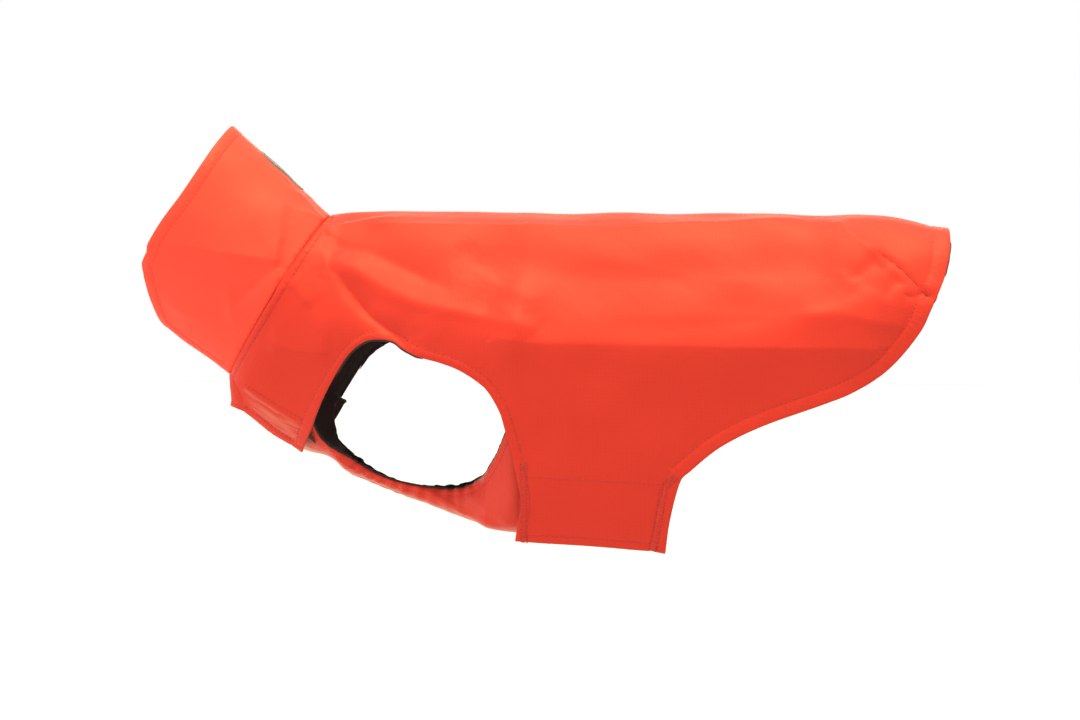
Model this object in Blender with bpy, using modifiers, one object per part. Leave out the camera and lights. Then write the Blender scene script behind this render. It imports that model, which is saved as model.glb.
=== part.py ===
"""High-visibility rain jacket for a medium dog, hollow and filled out as when it is worn.

Millimetres in every table, metres in the meshes. +X runs toward the tail, the dog's left side
is -Y and +Z is up. The origin lies on the wearer's back line at the withers. Each cloth piece is
cut from a form, a smooth surface through rings, and the left half is mirrored to the right.
"""
import math

import bpy
import numpy as np
from mathutils import Vector
from mathutils.geometry import delaunay_2d_cdt

MM = 0.001
NAME = "high_visibility_dog_jacket"

# Cloth and tape thickness, and the room left between layers
SHELL = 1.2
COLLAR_CLOTH = 1.6
LINING = 1.0
TAPE = 1.2
GAP = 0.3
PRESSED_GAP = 1.8

# How far the outer face of each layer lies below the coat's outer face
LINING_DEPTH = SHELL + GAP
HOOK_DEPTH = LINING_DEPTH + LINING + GAP
LOOP_DEPTH = HOOK_DEPTH + TAPE + PRESSED_GAP
CHEST_DEPTH = LOOP_DEPTH + TAPE + GAP

# Length of a triangle's side in open cloth, in the chest panel, along plain edges, along the
# short front of the wings, along gathers and round tapes
CLOTH_STEP = 17.0
CHEST_STEP = 13.6
EDGE_STEP = 12.0
WING_STEP = 6.0
GATHER_STEP = 3.2
TAPE_STEP = 11.0
# Spacing of the points at which an edge in the side view is laid on its form
PATH_STEP = 3.0
# Points keep this share of a triangle's side free round them, and more of it inside a border
POINT_ROOM = 0.6
ROW_ROOM = 0.75
BORDER_ROOM = 0.4

ORANGE = (0.90, 0.045, 0.022)
CHARCOAL = (0.018, 0.017, 0.019)
BLACK = (0.012, 0.012, 0.013)
REFLECTIVE = (0.42, 0.45, 0.42)

MIRROR_MERGE = 0.00005
ON_SPINE = 1e-6

# Half sections from the spine (or the top of a low ring) to the keel:
# share of the ring's depth, share of its half width
PROFILES = {
    "neck": (
        (0, 0), (0.012, 0.13), (0.050, 0.33), (0.13, 0.60), (0.24, 0.82), (0.37, 0.96),
        (0.50, 1.0), (0.66, 0.94), (0.80, 0.77), (0.91, 0.50), (0.975, 0.24), (1, 0),
    ),
    "trunk": (
        (0, 0), (0.010, 0.12), (0.034, 0.27), (0.10, 0.50), (0.20, 0.73), (0.31, 0.90),
        (0.40, 0.99), (0.58, 1.0), (0.76, 0.95), (0.90, 0.80), (0.975, 0.42), (1, 0),
    ),
    "wing": (
        (0, 1.0), (0.12, 1.0), (0.25, 0.995), (0.38, 0.985), (0.50, 0.965), (0.62, 0.94),
        (0.74, 0.90), (0.84, 0.83), (0.92, 0.73), (0.97, 0.55), (0.995, 0.28), (1, 0),
    ),
    "channel": (
        (0, 0.70), (0.10, 0.80), (0.20, 0.88), (0.30, 0.94), (0.40, 0.98), (0.50, 1.0),
        (0.60, 1.0), (0.70, 0.96), (0.80, 0.86), (0.90, 0.66), (0.97, 0.36), (1, 0),
    ),
}

# Rings: name, top x and z, keel x and z, half width, how far the flank lies behind, profile
COLLAR_RINGS = (
    ("collar_out", -145.8, 85.4, -232.8, -60.7, 58, 14, "neck"),
    ("collar_mid", -98.8, 42.8, -182.8, -97.6, 61, 13, "neck"),
    ("neck_seam", -51.1, 0.4, -133.7, -133.6, 64, 12, "neck"),
)
COAT_RINGS = (
    ("neck_seam", -51.1, 0.4, -133.7, -133.6, 64, 12, "neck"),
    ("withers", -38.5, 2.2, -135.5, -157.4, 67, 12, "neck"),
    ("strap_mid", -25.0, 2.7, -104.8, -178.5, 71, 11, "neck"),
    ("strap_rear", -9.0, 2.7, -76.6, -197.2, 76, 10, "neck"),
    ("leg_front", 8.0, 2.6, -39.4, -219.1, 81, 8, "trunk"),
    ("leg_mid", 28.0, 2.6, -2.3, -238.4, 85, 5, "trunk"),
    ("leg_rear", 59.0, 2.5, 47.0, -260.8, 88, 2, "trunk"),
    ("flap_front", 103.0, 1.5, 100.1, -279.8, 89, 0, "trunk"),
    ("flap_mid", 160.9, 0.5, 161.1, -288.9, 88, 0, "trunk"),
    ("flap_rear", 213.2, 0.4, 217.8, -288.2, 87, 0, "trunk"),
    ("loin", 257.2, 0.2, 274.0, -277.8, 84, 0, "trunk"),
    ("haunch", 297.0, -0.7, 325.9, -253.1, 80, 0, "trunk"),
    ("croup", 336.7, -1.2, 369.4, -216.5, 74, 0, "trunk"),
    ("rump", 377.8, -1.3, 408.8, -180.2, 66, 0, "trunk"),
    ("tail", 415.6, -5.4, 436.9, -152.1, 57, 0, "trunk"),
    ("tail_end", 449.3, -14.6, 451.7, -136.1, 47, 0, "trunk"),
)
# The coat starts this far past its first ring, and the collar ends this far before its last
COAT_FRONT_RING = 0.035
COLLAR_SEAM_RING = 0.004
# The chest panel starts on the lower part of these coat rings, under the straps
WING_RINGS = ("withers", "strap_mid", "strap_rear")
WING_START = 0.6
CHEST_RINGS = (
    ("gullet", -33.0, -158.0, -52.0, -200.0, 37, 0, "channel"),
    ("brisket_front", -27.0, -184.0, -35.2, -210.0, 25, 0, "channel"),
    ("brisket_mid", -8.0, -195.0, -14.6, -217.6, 21, 0, "channel"),
    ("brisket_rear", 37.0, -210.0, 30.6, -235.0, 21, 0, "channel"),
    ("between_legs", 70.0, -208.0, 63.0, -247.0, 29, 0, "channel"),
    ("belly_front", 86.0, -184.0, 80.3, -253.5, 51, 0, "wing"),
    ("wing_front", 101.0, -150.0, 103.0, -259.5, 76, 0, "wing"),
    ("wing_mid", 125.0, -150.0, 127.0, -264.0, 85, 0, "wing"),
    ("belly_mid", 175.0, -150.0, 177.0, -266.0, 86, 0, "wing"),
    ("belly_rear", 218.0, -150.0, 221.0, -266.0, 85, 0, "wing"),
)
# How far the panel's outer face lies inside its form, as a share of the coat's layers
CHEST_INSET = (1, 1, 1, 0.45, 0, 0, 0, 0, 0.15, 0.7, 1, 1, 1)

# Edges in the side view, x and z, each one smooth stretch between two corners
STRAP_FRONT = ((-127.5, -137.0), (-127.8, -146.0), (-126.7, -153.6))
STRAP_END = ((-126.7, -153.6), (-98.5, -173.8), (-70.1, -191.2))
LEG_HOLE = (
    (-70.1, -191.2), (-58.5, -173.0), (-49.0, -154.8), (-37.7, -134.7), (-24.9, -114.9),
    (-8.6, -103.1), (7.5, -100.7), (19.4, -106.0), (35.3, -112.9), (50.9, -116.7),
    (66.5, -122.7), (82.0, -132.7), (89.8, -141.1), (97.5, -154.9), (101.3, -168.0),
    (105.8, -183.4), (108.8, -198.9), (112.0, -214.5), (112.1, -230.3), (107.0, -255.9),
)
FLAP_END = ((107.0, -255.9), (134.5, -257.7), (173.4, -259.6), (223.6, -262.8))
REAR_HEM = (
    (223.6, -262.8), (227.7, -236.5), (235.4, -207.4), (243.0, -198.9), (265.8, -180.4),
    (296.2, -165.0), (341.8, -148.3), (364.7, -139.2), (387.7, -125.5), (403.0, -111.8),
    (418.4, -91.9), (426.2, -75.9), (434.1, -59.7), (438.6, -48.9), (443.3, -29.4), (445.1, -13.9),
)
COLLAR_TOP = (
    (-131.6, 72.5), (-135.8, 61.6), (-146.6, 37.9), (-160.3, 13.7), (-176.4, -9.2), (-193.8, -38.3),
)
COLLAR_FRONT = (
    (-193.8, -38.3), (-193.9, -45.0), (-192.1, -68.7), (-188.1, -86.6), (-180.0, -93.1),
    (-163.4, -105.3), (-146.4, -116.5), (-127.5, -129.3),
)
CHEST_LEG_EDGE = (
    (106.0, -156.8), (101.1, -167.0), (97.6, -176.6), (92.6, -189.1), (88.8, -195.1),
    (80.7, -206.8), (74.2, -211.5), (62.3, -218.4), (41.5, -220.5), (9.1, -215.2),
    (-15.3, -205.7), (-35.1, -193.4), (-42.7, -186.8), (-49.7, -181.6), (-54.6, -170.1),
    (-54.6, -160.0),
)
CHEST_WING_TOP = ((-54.6, -160.0), (-80.5, -144.6), (-99.9, -135.0))
CHEST_FRONT_RING = 0.35
CHEST_REAR_RING = 11.93
CHEST_REAR_TOP = ((217.5, -157.0), (160.0, -157.5), (106.0, -156.8))

# Four corners of each tape in the side view: upper front, upper rear, lower rear, lower front
STRAP_HOOK = ((-112.8, -134.6), (-64.1, -167.7), (-73.0, -183.5), (-109.3, -155.2))
CHEST_LOOP = ((-98.0, -146.0), (-60.0, -169.0), (-66.5, -186.0), (-103.0, -160.5))
FLAP_HOOK = ((120.3, -205.8), (216.3, -212.9), (216.0, -250.0), (119.4, -245.0))
BELLY_LOOP = ((120.3, -204.0), (213.0, -209.0), (213.0, -246.0), (119.4, -243.0))

# Opening for a leash in the collar's centre back, and the binding round it
SLIT_RINGS = (0.86, 1.46)
SLIT_HALF_WIDTH = 1.6
BINDING_HALF_WIDTH = 6.5
BINDING_MARGIN = 0.05
BINDING_CLOTH = 1.0

# Folds: name, form, points in the side view, height out of the cloth, reach to each side
FOLDS = (
    ("back_knee", "coat", ((16.7, -1.1), (74.2, -4.7), (178.3, -9.5), (237.6, -8.4), (328.5, -3.0)),
        1.2, 9),
    ("flank_crease", "coat", ((81.8, -99.7), (143.4, -103.4), (265.6, -104.7), (395.0, -104.0)),
        1.4, 16),
    ("shoulder_ridge", "coat", ((-56.5, -22.8), (-44.6, -29.7), (-28.0, -52.7), (-7.5, -80.7)), 3.0, 14),
    ("shoulder_valley", "coat", ((-26.0, -22.0), (-8.0, -50.0), (10.0, -80.0), (14.0, -98.0)), -2.5, 16),
    ("withers_pull", "coat", ((36.7, -32.3), (75.9, -60.5), (117.4, -86.7)), 1.6, 17),
    ("saddle_pull", "coat", ((92.7, -44.2), (110.7, -58.2), (128.4, -72.1)), 1.2, 15),
    ("tail_dart", "coat", ((427.0, -66.5), (407.5, -45.1), (389.0, -29.5), (372.7, -17.6)), -1.6, 9),
    ("tail_pull", "coat", ((424.0, -74.0), (407.0, -86.0), (392.0, -90.0)), -1.5, 11),
    ("collar_crease", "collar", ((-185.3, -20.9), (-147.8, -25.8), (-111.5, -30.6), (-76.5, -35.3)),
        2.0, 17),
)
# Folds sharp enough to have a row of points along them
CREASES = ("back_knee", "flank_crease", "tail_dart", "collar_crease")
# Elastic gathers along the leg edge of the chest panel
GATHERED = slice(6, 14)
GATHERS = 13
GATHER_HEIGHT = 0.9
GATHER_REACH = 9.0
# The share by which the waves drift along the edge, and how often
GATHER_DRIFT = 0.012
GATHER_DRIFTS = 9
# Rows of points inside the gathered edge: distance from it, spacing
GATHER_ROWS = ((4.0, 3.6), (9.5, 7.5))


def weights(t):
    """Catmull-Rom weights of four neighbours at t between the inner two."""
    return (
        0.5 * (-(t**3) + 2 * t**2 - t),
        0.5 * (3 * t**3 - 5 * t**2 + 2),
        0.5 * (-3 * t**3 + 4 * t**2 + t),
        0.5 * (t**3 - t**2),
    )


def lower_part(profile, start):
    """The stretch of a profile below a depth share, with as many rows as the whole."""
    rows = PROFILES[profile]
    shares = np.linspace(0, len(rows) - 1, 400)
    padded = np.array([(-rows[1][0], -rows[1][1]), *rows, (2 - rows[-2][0], -rows[-2][1])])
    i = np.minimum(shares.astype(int), len(rows) - 2)
    curve = sum(w[:, None] * padded[i + k] for k, w in enumerate(weights(shares - i)))
    depths = start + (1 - start) * (1 - np.linspace(1, 0, len(rows)) ** 1.6)
    widths = np.interp(depths, curve[:, 0], curve[:, 1])
    widths[-1] = 0.0
    return tuple(zip((depths - start) / (1 - start), widths))


class Form:
    """Half of a hollow body, read at a ring number m and at a profile row number g."""

    def __init__(self, rings):
        half = []
        for _, top_x, top_z, keel_x, keel_z, width, sweep, profile in rings:
            length = math.hypot(keel_x - top_x, keel_z - top_z)
            rear_x, rear_z = -(keel_z - top_z) / length, (keel_x - top_x) / length
            rows = PROFILES[profile] if isinstance(profile, str) else profile
            half.append([
                (
                    top_x + d * (keel_x - top_x) + sweep * w * rear_x,
                    -width * w,
                    top_z + d * (keel_z - top_z) + sweep * w * rear_z,
                )
                for d, w in rows
            ])
        grid = np.array(half)
        self.from_spine = grid[0, 0, 1] == 0
        before = grid[:, 1:2] * (1, -1, 1) if self.from_spine else 2 * grid[:, :1] - grid[:, 1:2]
        grid = np.concatenate([before, grid, grid[:, -2:-1] * (1, -1, 1)], axis=1)
        self.rings = len(rings) - 1
        self.rows = grid.shape[1] - 3
        self.grid = np.concatenate([2 * grid[:1] - grid[1:2], grid, 2 * grid[-1:] - grid[-2:-1]])
        m_line = np.linspace(0, self.rings, self.rings * 12 + 1)
        g_line = np.linspace(0, self.rows, self.rows * 12 + 1)
        self.search_m, self.search_g = np.meshgrid(m_line, g_line, indexing="ij")
        self.search = self.point(self.search_m, self.search_g)

    def point(self, m, g):
        """Point of the form, in millimetres."""
        m = np.clip(np.asarray(m, float), 0, self.rings)
        g = np.clip(np.asarray(g, float), 0, self.rows)
        i = np.minimum(m.astype(int), self.rings - 1)
        j = np.minimum(g.astype(int), self.rows - 1)
        along, across = weights(m - i), weights(g - j)
        return sum(
            (along[p] * across[q])[..., None] * self.grid[i + p, j + q]
            for p in range(4) for q in range(4)
        )

    def normal(self, m, g):
        """Unit normal that points out of the body."""
        step = 0.01
        along = self.point(m + step, g) - self.point(m - step, g)
        across = self.point(m, g + step) - self.point(m, g - step)
        normal = np.cross(across, along)
        flat = np.asarray(g) <= 0 if self.from_spine else np.zeros(np.shape(g), bool)
        flat = flat | (np.asarray(g) >= self.rows)
        normal[..., 1] = np.where(flat, 0, normal[..., 1])
        return normal / np.linalg.norm(normal, axis=-1, keepdims=True)

    def place(self, x, z):
        """Ring and row numbers of the point seen at x and z from the left side."""
        distance = np.hypot(self.search[..., 0] - x, self.search[..., 2] - z)
        nearest = np.unravel_index(distance.argmin(), distance.shape)
        m, g = self.search_m[nearest], self.search_g[nearest]
        step = 0.002
        for _ in range(8):
            here = self.point(m, g)
            m_low, m_high = max(m - step, 0), min(m + step, self.rings)
            g_low, g_high = max(g - step, 0), min(g + step, self.rows)
            along = (self.point(m_high, g) - self.point(m_low, g)) / (m_high - m_low)
            across = (self.point(m, g_high) - self.point(m, g_low)) / (g_high - g_low)
            slopes = np.array([(along[0], across[0]), (along[2], across[2])])
            move = np.linalg.lstsq(slopes, np.array([x - here[0], z - here[2]]), rcond=None)[0]
            m = float(np.clip(m + np.clip(move[0], -0.2, 0.2), 0, self.rings))
            g = float(np.clip(g + np.clip(move[1], -0.2, 0.2), 0, self.rows))
        return m, g


def wing_rings():
    """Lower parts of the coat's strap rings, on which the chest panel's front wings lie."""
    rings = []
    for name, top_x, top_z, keel_x, keel_z, width, sweep, profile in COAT_RINGS:
        if name in WING_RINGS:
            x = top_x + WING_START * (keel_x - top_x)
            z = top_z + WING_START * (keel_z - top_z)
            rings.append((name, x, z, keel_x, keel_z, width, sweep, lower_part(profile, WING_START)))
    return tuple(rings)


FORMS = {
    "collar": Form(COLLAR_RINGS),
    "coat": Form(COAT_RINGS),
    "chest": Form(wing_rings() + CHEST_RINGS),
}


def curve(points, step):
    """Points about a step apart along a smooth curve through the given ones."""
    points = np.array(points, float)
    padded = np.concatenate([2 * points[:1] - points[1:2], points, 2 * points[-1:] - points[-2:-1]])
    t = np.linspace(0, len(points) - 1, (len(points) - 1) * 24 + 1)
    i = np.minimum(t.astype(int), len(points) - 2)
    dense = sum(w[:, None] * padded[i + k] for k, w in enumerate(weights(t - i)))
    length = np.concatenate([[0], np.cumsum(np.linalg.norm(np.diff(dense, axis=0), axis=1))])
    count = max(1, round(length[-1] / step))
    wanted = np.linspace(0, length[-1], count + 1)
    return np.stack([np.interp(wanted, length, dense[:, k]) for k in range(dense.shape[1])], axis=1)


def edge(form, points, step):
    """A side-view edge as ring and row numbers, evenly spaced on the form."""
    dense = [form.place(x, z) for x, z in curve(points, PATH_STEP)]
    return respace(form, dense, step)


def respace(form, dense, step):
    """Ring and row numbers a step apart along a dense path of them."""
    dense = np.array(dense, float)
    path = form.point(dense[:, 0], dense[:, 1])
    length = np.concatenate([[0], np.cumsum(np.linalg.norm(np.diff(path, axis=0), axis=1))])
    count = max(1, round(length[-1] / step))
    wanted = np.linspace(0, length[-1], count + 1)
    return np.stack([np.interp(wanted, length, dense[:, k]) for k in range(2)], axis=1)


def straight(form, start, end, step):
    """Path between two ring and row numbers, straight in those numbers."""
    share = np.linspace(0, 1, 60)[:, None]
    return respace(form, np.array(start) * (1 - share) + np.array(end) * share, step)


def loop(*stretches):
    """Joins edge stretches, each without its last point, into one closed outline."""
    return np.concatenate([stretch[:-1] for stretch in stretches])


class Pattern:
    """Flat copy of a form: length along the body, and girth from the mirror line."""

    def __init__(self, form):
        self.form = form
        rings = np.linspace(0, form.rings, form.rings * 8 + 1)
        rows = np.linspace(0, form.rows, form.rows * 8 + 1)
        points = form.point(*np.meshgrid(rings, rows, indexing="ij"))
        girth = np.concatenate([
            np.zeros((len(rings), 1)),
            np.cumsum(np.linalg.norm(np.diff(points, axis=1), axis=2), axis=1),
        ], axis=1)
        middle = points[:, len(rows) // 2]
        self.along = np.concatenate([[0], np.cumsum(np.linalg.norm(np.diff(middle, axis=0), axis=1))])
        self.girth = girth if form.from_spine else girth - girth[:, -1:]
        self.ring_numbers, self.row_numbers = rings, rows

    def flat(self, numbers):
        m, g = np.asarray(numbers, float).T
        x = np.interp(m, self.ring_numbers, self.along)
        by_ring = np.array([np.interp(g, self.row_numbers, row) for row in self.girth])
        i = np.clip(np.searchsorted(self.ring_numbers, m) - 1, 0, len(self.ring_numbers) - 2)
        share = (m - self.ring_numbers[i]) / (self.ring_numbers[i + 1] - self.ring_numbers[i])
        n = np.arange(len(m))
        return np.stack([x, by_ring[i, n] * (1 - share) + by_ring[i + 1, n] * share], axis=1)

    def numbers(self, x, y):
        """Ring and row numbers of one flat point."""
        m = np.interp(x, self.along, self.ring_numbers)
        i = int(np.clip(np.searchsorted(self.ring_numbers, m) - 1, 0, len(self.ring_numbers) - 2))
        share = (m - self.ring_numbers[i]) / (self.ring_numbers[i + 1] - self.ring_numbers[i])
        girth = self.girth[i] * (1 - share) + self.girth[i + 1] * share
        return m, float(np.interp(y, girth, self.row_numbers))


def inside(point, outline):
    """Whether a flat point lies inside a closed flat outline."""
    x, y = point
    x0, y0 = outline[:, 0], outline[:, 1]
    x1, y1 = np.roll(x0, -1), np.roll(y0, -1)
    crosses = (y0 > y) != (y1 > y)
    rise = np.where(y1 == y0, 1, y1 - y0)
    return bool(np.count_nonzero(crosses & (x < x0 + (y - y0) * (x1 - x0) / rise)) % 2)


def rows_inward(flat, stretch, distances_and_steps):
    """Candidate points in rows at given distances inside an edge stretch."""
    line = flat[stretch]
    length = np.concatenate([[0], np.cumsum(np.linalg.norm(np.diff(line, axis=0), axis=1))])
    found = []
    for distance, step in distances_and_steps:
        for s in np.arange(step / 2, length[-1], step):
            here = np.array([np.interp(s, length, line[:, k]) for k in range(2)])
            ahead = np.array([np.interp(min(s + 1, length[-1]), length, line[:, k]) for k in range(2)])
            behind = np.array([np.interp(max(s - 1, 0), length, line[:, k]) for k in range(2)])
            along = (ahead - behind) / np.linalg.norm(ahead - behind)
            square = distance * np.array([-along[1], along[0]])
            room = ROW_ROOM * min(step, distance)
            found.append((here - square, room))
            found.append((here + square, room))
    return found


def cut(form, outline, step, creases=(), fine=None, patches=()):
    """Cuts a piece: returns ring and row numbers of its points, its triangles, and the
    triangles of each patch, a smaller outline on the piece that another piece copies."""
    pattern = Pattern(form)
    numbers = [tuple(p) for p in outline]
    edges = [(i, (i + 1) % len(numbers)) for i in range(len(numbers))]
    border = pattern.flat(numbers)
    for crease in creases:
        first = len(numbers)
        for number, spot in zip(crease, pattern.flat(crease)):
            room = min(np.linalg.norm(border - spot, axis=1))
            if inside(spot, border) and room > BORDER_ROOM * step:
                numbers.append(tuple(number))
        edges.extend((i, i + 1) for i in range(first, len(numbers) - 1))
    for patch in patches:
        first = len(numbers)
        numbers.extend(tuple(p) for p in patch)
        edges.extend((i, i + 1) for i in range(first, len(numbers) - 1))
        edges.append((len(numbers) - 1, first))
    fixed = list(pattern.flat(numbers))
    low, high = border.min(axis=0), border.max(axis=0)
    wanted = rows_inward(border, fine[0], fine[1]) if fine else []
    row_height = step * math.sqrt(3) / 2
    for r, y in enumerate(np.arange(low[1] + row_height / 2, high[1], row_height)):
        for x in np.arange(low[0] + (r % 2) * step / 2, high[0], step):
            wanted.append((np.array([x, y]), POINT_ROOM * step))
    for spot, room in wanted:
        if inside(spot, border) and min(np.linalg.norm(np.array(fixed) - spot, axis=1)) > room:
            fixed.append(spot)
            numbers.append(pattern.numbers(*spot))
    result = delaunay_2d_cdt([Vector(p) for p in fixed], edges, [], 0, 1e-5, True)
    corners, triangles, sources = result[0], result[2], result[3]
    patch_borders = [pattern.flat(patch) for patch in patches]
    kept, kept_in_patches = [], [[] for _ in patches]
    for triangle in triangles:
        middle = sum((corners[i] for i in triangle), Vector((0, 0))) / 3
        if inside(middle, border):
            face = [sources[i][0] for i in triangle]
            kept.append(face)
            for patch_border, patch_faces in zip(patch_borders, kept_in_patches):
                if inside(middle, patch_border):
                    patch_faces.append(face)
    return np.array(numbers), kept, kept_in_patches


def fold_lift(form_name, points):
    """Height of the cloth above its form at each point, from the folds on that form."""
    lift = np.zeros(len(points))
    form = FORMS[form_name]
    for _, where, path, height, reach in FOLDS:
        if where == form_name:
            line = np.array([form.point(*form.place(x, z)) for x, z in curve(path, 2 * PATH_STEP)])
            distance = np.linalg.norm(points[:, None] - line[None], axis=2).min(axis=1)
            lift += height * np.exp(-((distance / reach) ** 2))
    return lift


def gather_lift(form, points):
    """Waves that run in from the elastic leg edge of the chest panel."""
    line = form.point(*edge(form, CHEST_LEG_EDGE[GATHERED], 1.0).T)
    distance = np.linalg.norm(points[:, None] - line[None], axis=2)
    share = distance.argmin(axis=1) / (len(line) - 1)
    fade = np.sin(math.pi * share) ** 0.4 * np.exp(-distance.min(axis=1) / GATHER_REACH)
    uneven = share + GATHER_DRIFT * np.sin(GATHER_DRIFTS * share)
    return GATHER_HEIGHT * fade * np.sin(2 * math.pi * GATHERS * uneven)


def outer_face(form_name, numbers, depth=0.0):
    """Outer face of a piece: its form with the folds, moved inward by a depth."""
    form = FORMS[form_name]
    m, g = numbers[:, 0], numbers[:, 1]
    points, normals = form.point(m, g), form.normal(m, g)
    lift = fold_lift(form_name, points)
    if form_name == "chest":
        lift = lift + gather_lift(form, points)
    return points + normals * (lift - depth)[:, None]


def layer(points, faces, depth):
    """The same cut moved inward by a depth, square to its folded face."""
    corners = points[np.array(faces)]
    normals = np.cross(corners[:, 1] - corners[:, 0], corners[:, 2] - corners[:, 0])
    normals /= np.linalg.norm(normals, axis=1, keepdims=True)
    if normals[:, 1].sum() > 0:
        normals = -normals
    total = np.zeros_like(points)
    for k in range(3):
        ahead = corners[:, (k + 1) % 3] - corners[:, k]
        behind = corners[:, (k + 2) % 3] - corners[:, k]
        lengths = np.linalg.norm(ahead, axis=1) * np.linalg.norm(behind, axis=1)
        angle = np.arccos(np.clip((ahead * behind).sum(axis=1) / lengths, -1, 1))
        np.add.at(total, np.array(faces)[:, k], normals * angle[:, None])
    total[np.abs(points[:, 1]) < ON_SPINE, 1] = 0
    weight = np.linalg.norm(total, axis=1, keepdims=True)
    total = np.divide(total, weight, out=np.zeros_like(total), where=weight > 0)
    lean, count = np.zeros(len(points)), np.zeros(len(points))
    for k in range(3):
        here = np.array(faces)[:, k]
        np.add.at(lean, here, (total[here] * normals).sum(axis=1))
        np.add.at(count, here, 1)
    lean = np.where(count > 0, lean / np.maximum(count, 1), 1)
    return points - total * (depth / np.maximum(lean, 0.5))[:, None]


def material(name, colour, roughness):
    made = bpy.data.materials.new(name)
    made.use_nodes = True
    shader = made.node_tree.nodes["Principled BSDF"]
    shader.inputs["Base Color"].default_value = (*colour, 1)
    shader.inputs["Roughness"].default_value = roughness
    shader.inputs["Metallic"].default_value = 0.0
    return made


def wall(name, points, faces, thickness, mirror, finish):
    """A cloth wall: its outer face, thickened inward, with its other half mirrored on."""
    used = sorted({i for face in faces for i in face})
    place = {old: new for new, old in enumerate(used)}
    mesh = bpy.data.meshes.new(name)
    corners = [tuple(points[i] * MM) for i in used]
    mesh.from_pydata(corners, [], [[place[i] for i in face] for face in faces])
    mesh.validate()
    mesh.update()
    outward = 0.0
    for polygon in mesh.polygons:
        outward += polygon.normal.y * polygon.area
    if outward > 0:
        mesh.flip_normals()
    piece = bpy.data.objects.new(name, mesh)
    bpy.data.collections[NAME].objects.link(piece)
    mesh.materials.append(finish)
    if mirror:
        other_half = piece.modifiers.new("other half", "MIRROR")
        other_half.use_axis = (False, True, False)
        other_half.merge_threshold = MIRROR_MERGE
    thicken = piece.modifiers.new("cloth", "SOLIDIFY")
    thicken.thickness = thickness * MM
    thicken.offset = -1
    thicken.use_even_offset = True
    mesh.shade_smooth()
    return piece


def right_copy(piece, name):
    """The right-hand piece of a left-hand one, mirrored across the spine."""
    mesh = piece.data.copy()
    for vertex in mesh.vertices:
        vertex.co.y = -vertex.co.y
    mesh.flip_normals()
    copy = bpy.data.objects.new(name, mesh)
    bpy.data.collections[NAME].objects.link(copy)
    thicken = copy.modifiers.new("cloth", "SOLIDIFY")
    source = piece.modifiers["cloth"]
    thicken.thickness = source.thickness
    thicken.offset = source.offset
    thicken.use_even_offset = source.use_even_offset
    return copy


def tape_outline(form, corners):
    """Outline of a tape that is sewn flat to a form between four corners."""
    sides = []
    for start, end in zip(corners, corners[1:] + corners[:1]):
        sides.append(edge(form, (start, end), TAPE_STEP))
    return loop(*sides)


def tape_pair(name, points, faces, black):
    """Left and right hook-and-loop tapes, made from the points of the cloth they lie on."""
    left = wall(name + "_left", points, faces, TAPE, False, black)
    right_copy(left, name + "_right")


def coat(orange, charcoal, black):
    """Back, sides, straps and flaps in one cloth, its lining, and the hook tapes in its ends."""
    form = FORMS["coat"]
    front = COAT_FRONT_RING
    tail = form.place(*REAR_HEM[-1])[0]
    throat = form.place(*STRAP_FRONT[0])
    outline = loop(
        straight(form, (tail, 0), (front, 0), CLOTH_STEP),
        straight(form, (front, 0), (front, throat[1]), EDGE_STEP),
        np.concatenate([[(front, throat[1])], edge(form, STRAP_FRONT, EDGE_STEP)[1:]]),
        edge(form, STRAP_END, EDGE_STEP),
        edge(form, LEG_HOLE, EDGE_STEP),
        edge(form, FLAP_END, EDGE_STEP),
        np.concatenate([edge(form, REAR_HEM, EDGE_STEP)[:-1], [(tail, 0)]]),
    )
    creases = [
        edge(form, path, EDGE_STEP)
        for name, where, path, _, _ in FOLDS
        if where == "coat" and name in CREASES
    ]
    tapes = (tape_outline(form, STRAP_HOOK), tape_outline(form, FLAP_HOOK))
    numbers, faces, tape_faces = cut(form, outline, CLOTH_STEP, creases, None, tapes)
    outer = outer_face("coat", numbers)
    wall("coat_shell", outer, faces, SHELL, True, orange)
    wall("coat_lining", layer(outer, faces, LINING_DEPTH), faces, LINING, True, charcoal)
    hooks = layer(outer, faces, HOOK_DEPTH)
    tape_pair("strap_hook", hooks, tape_faces[0], black)
    tape_pair("flap_hook", hooks, tape_faces[1], black)


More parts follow.
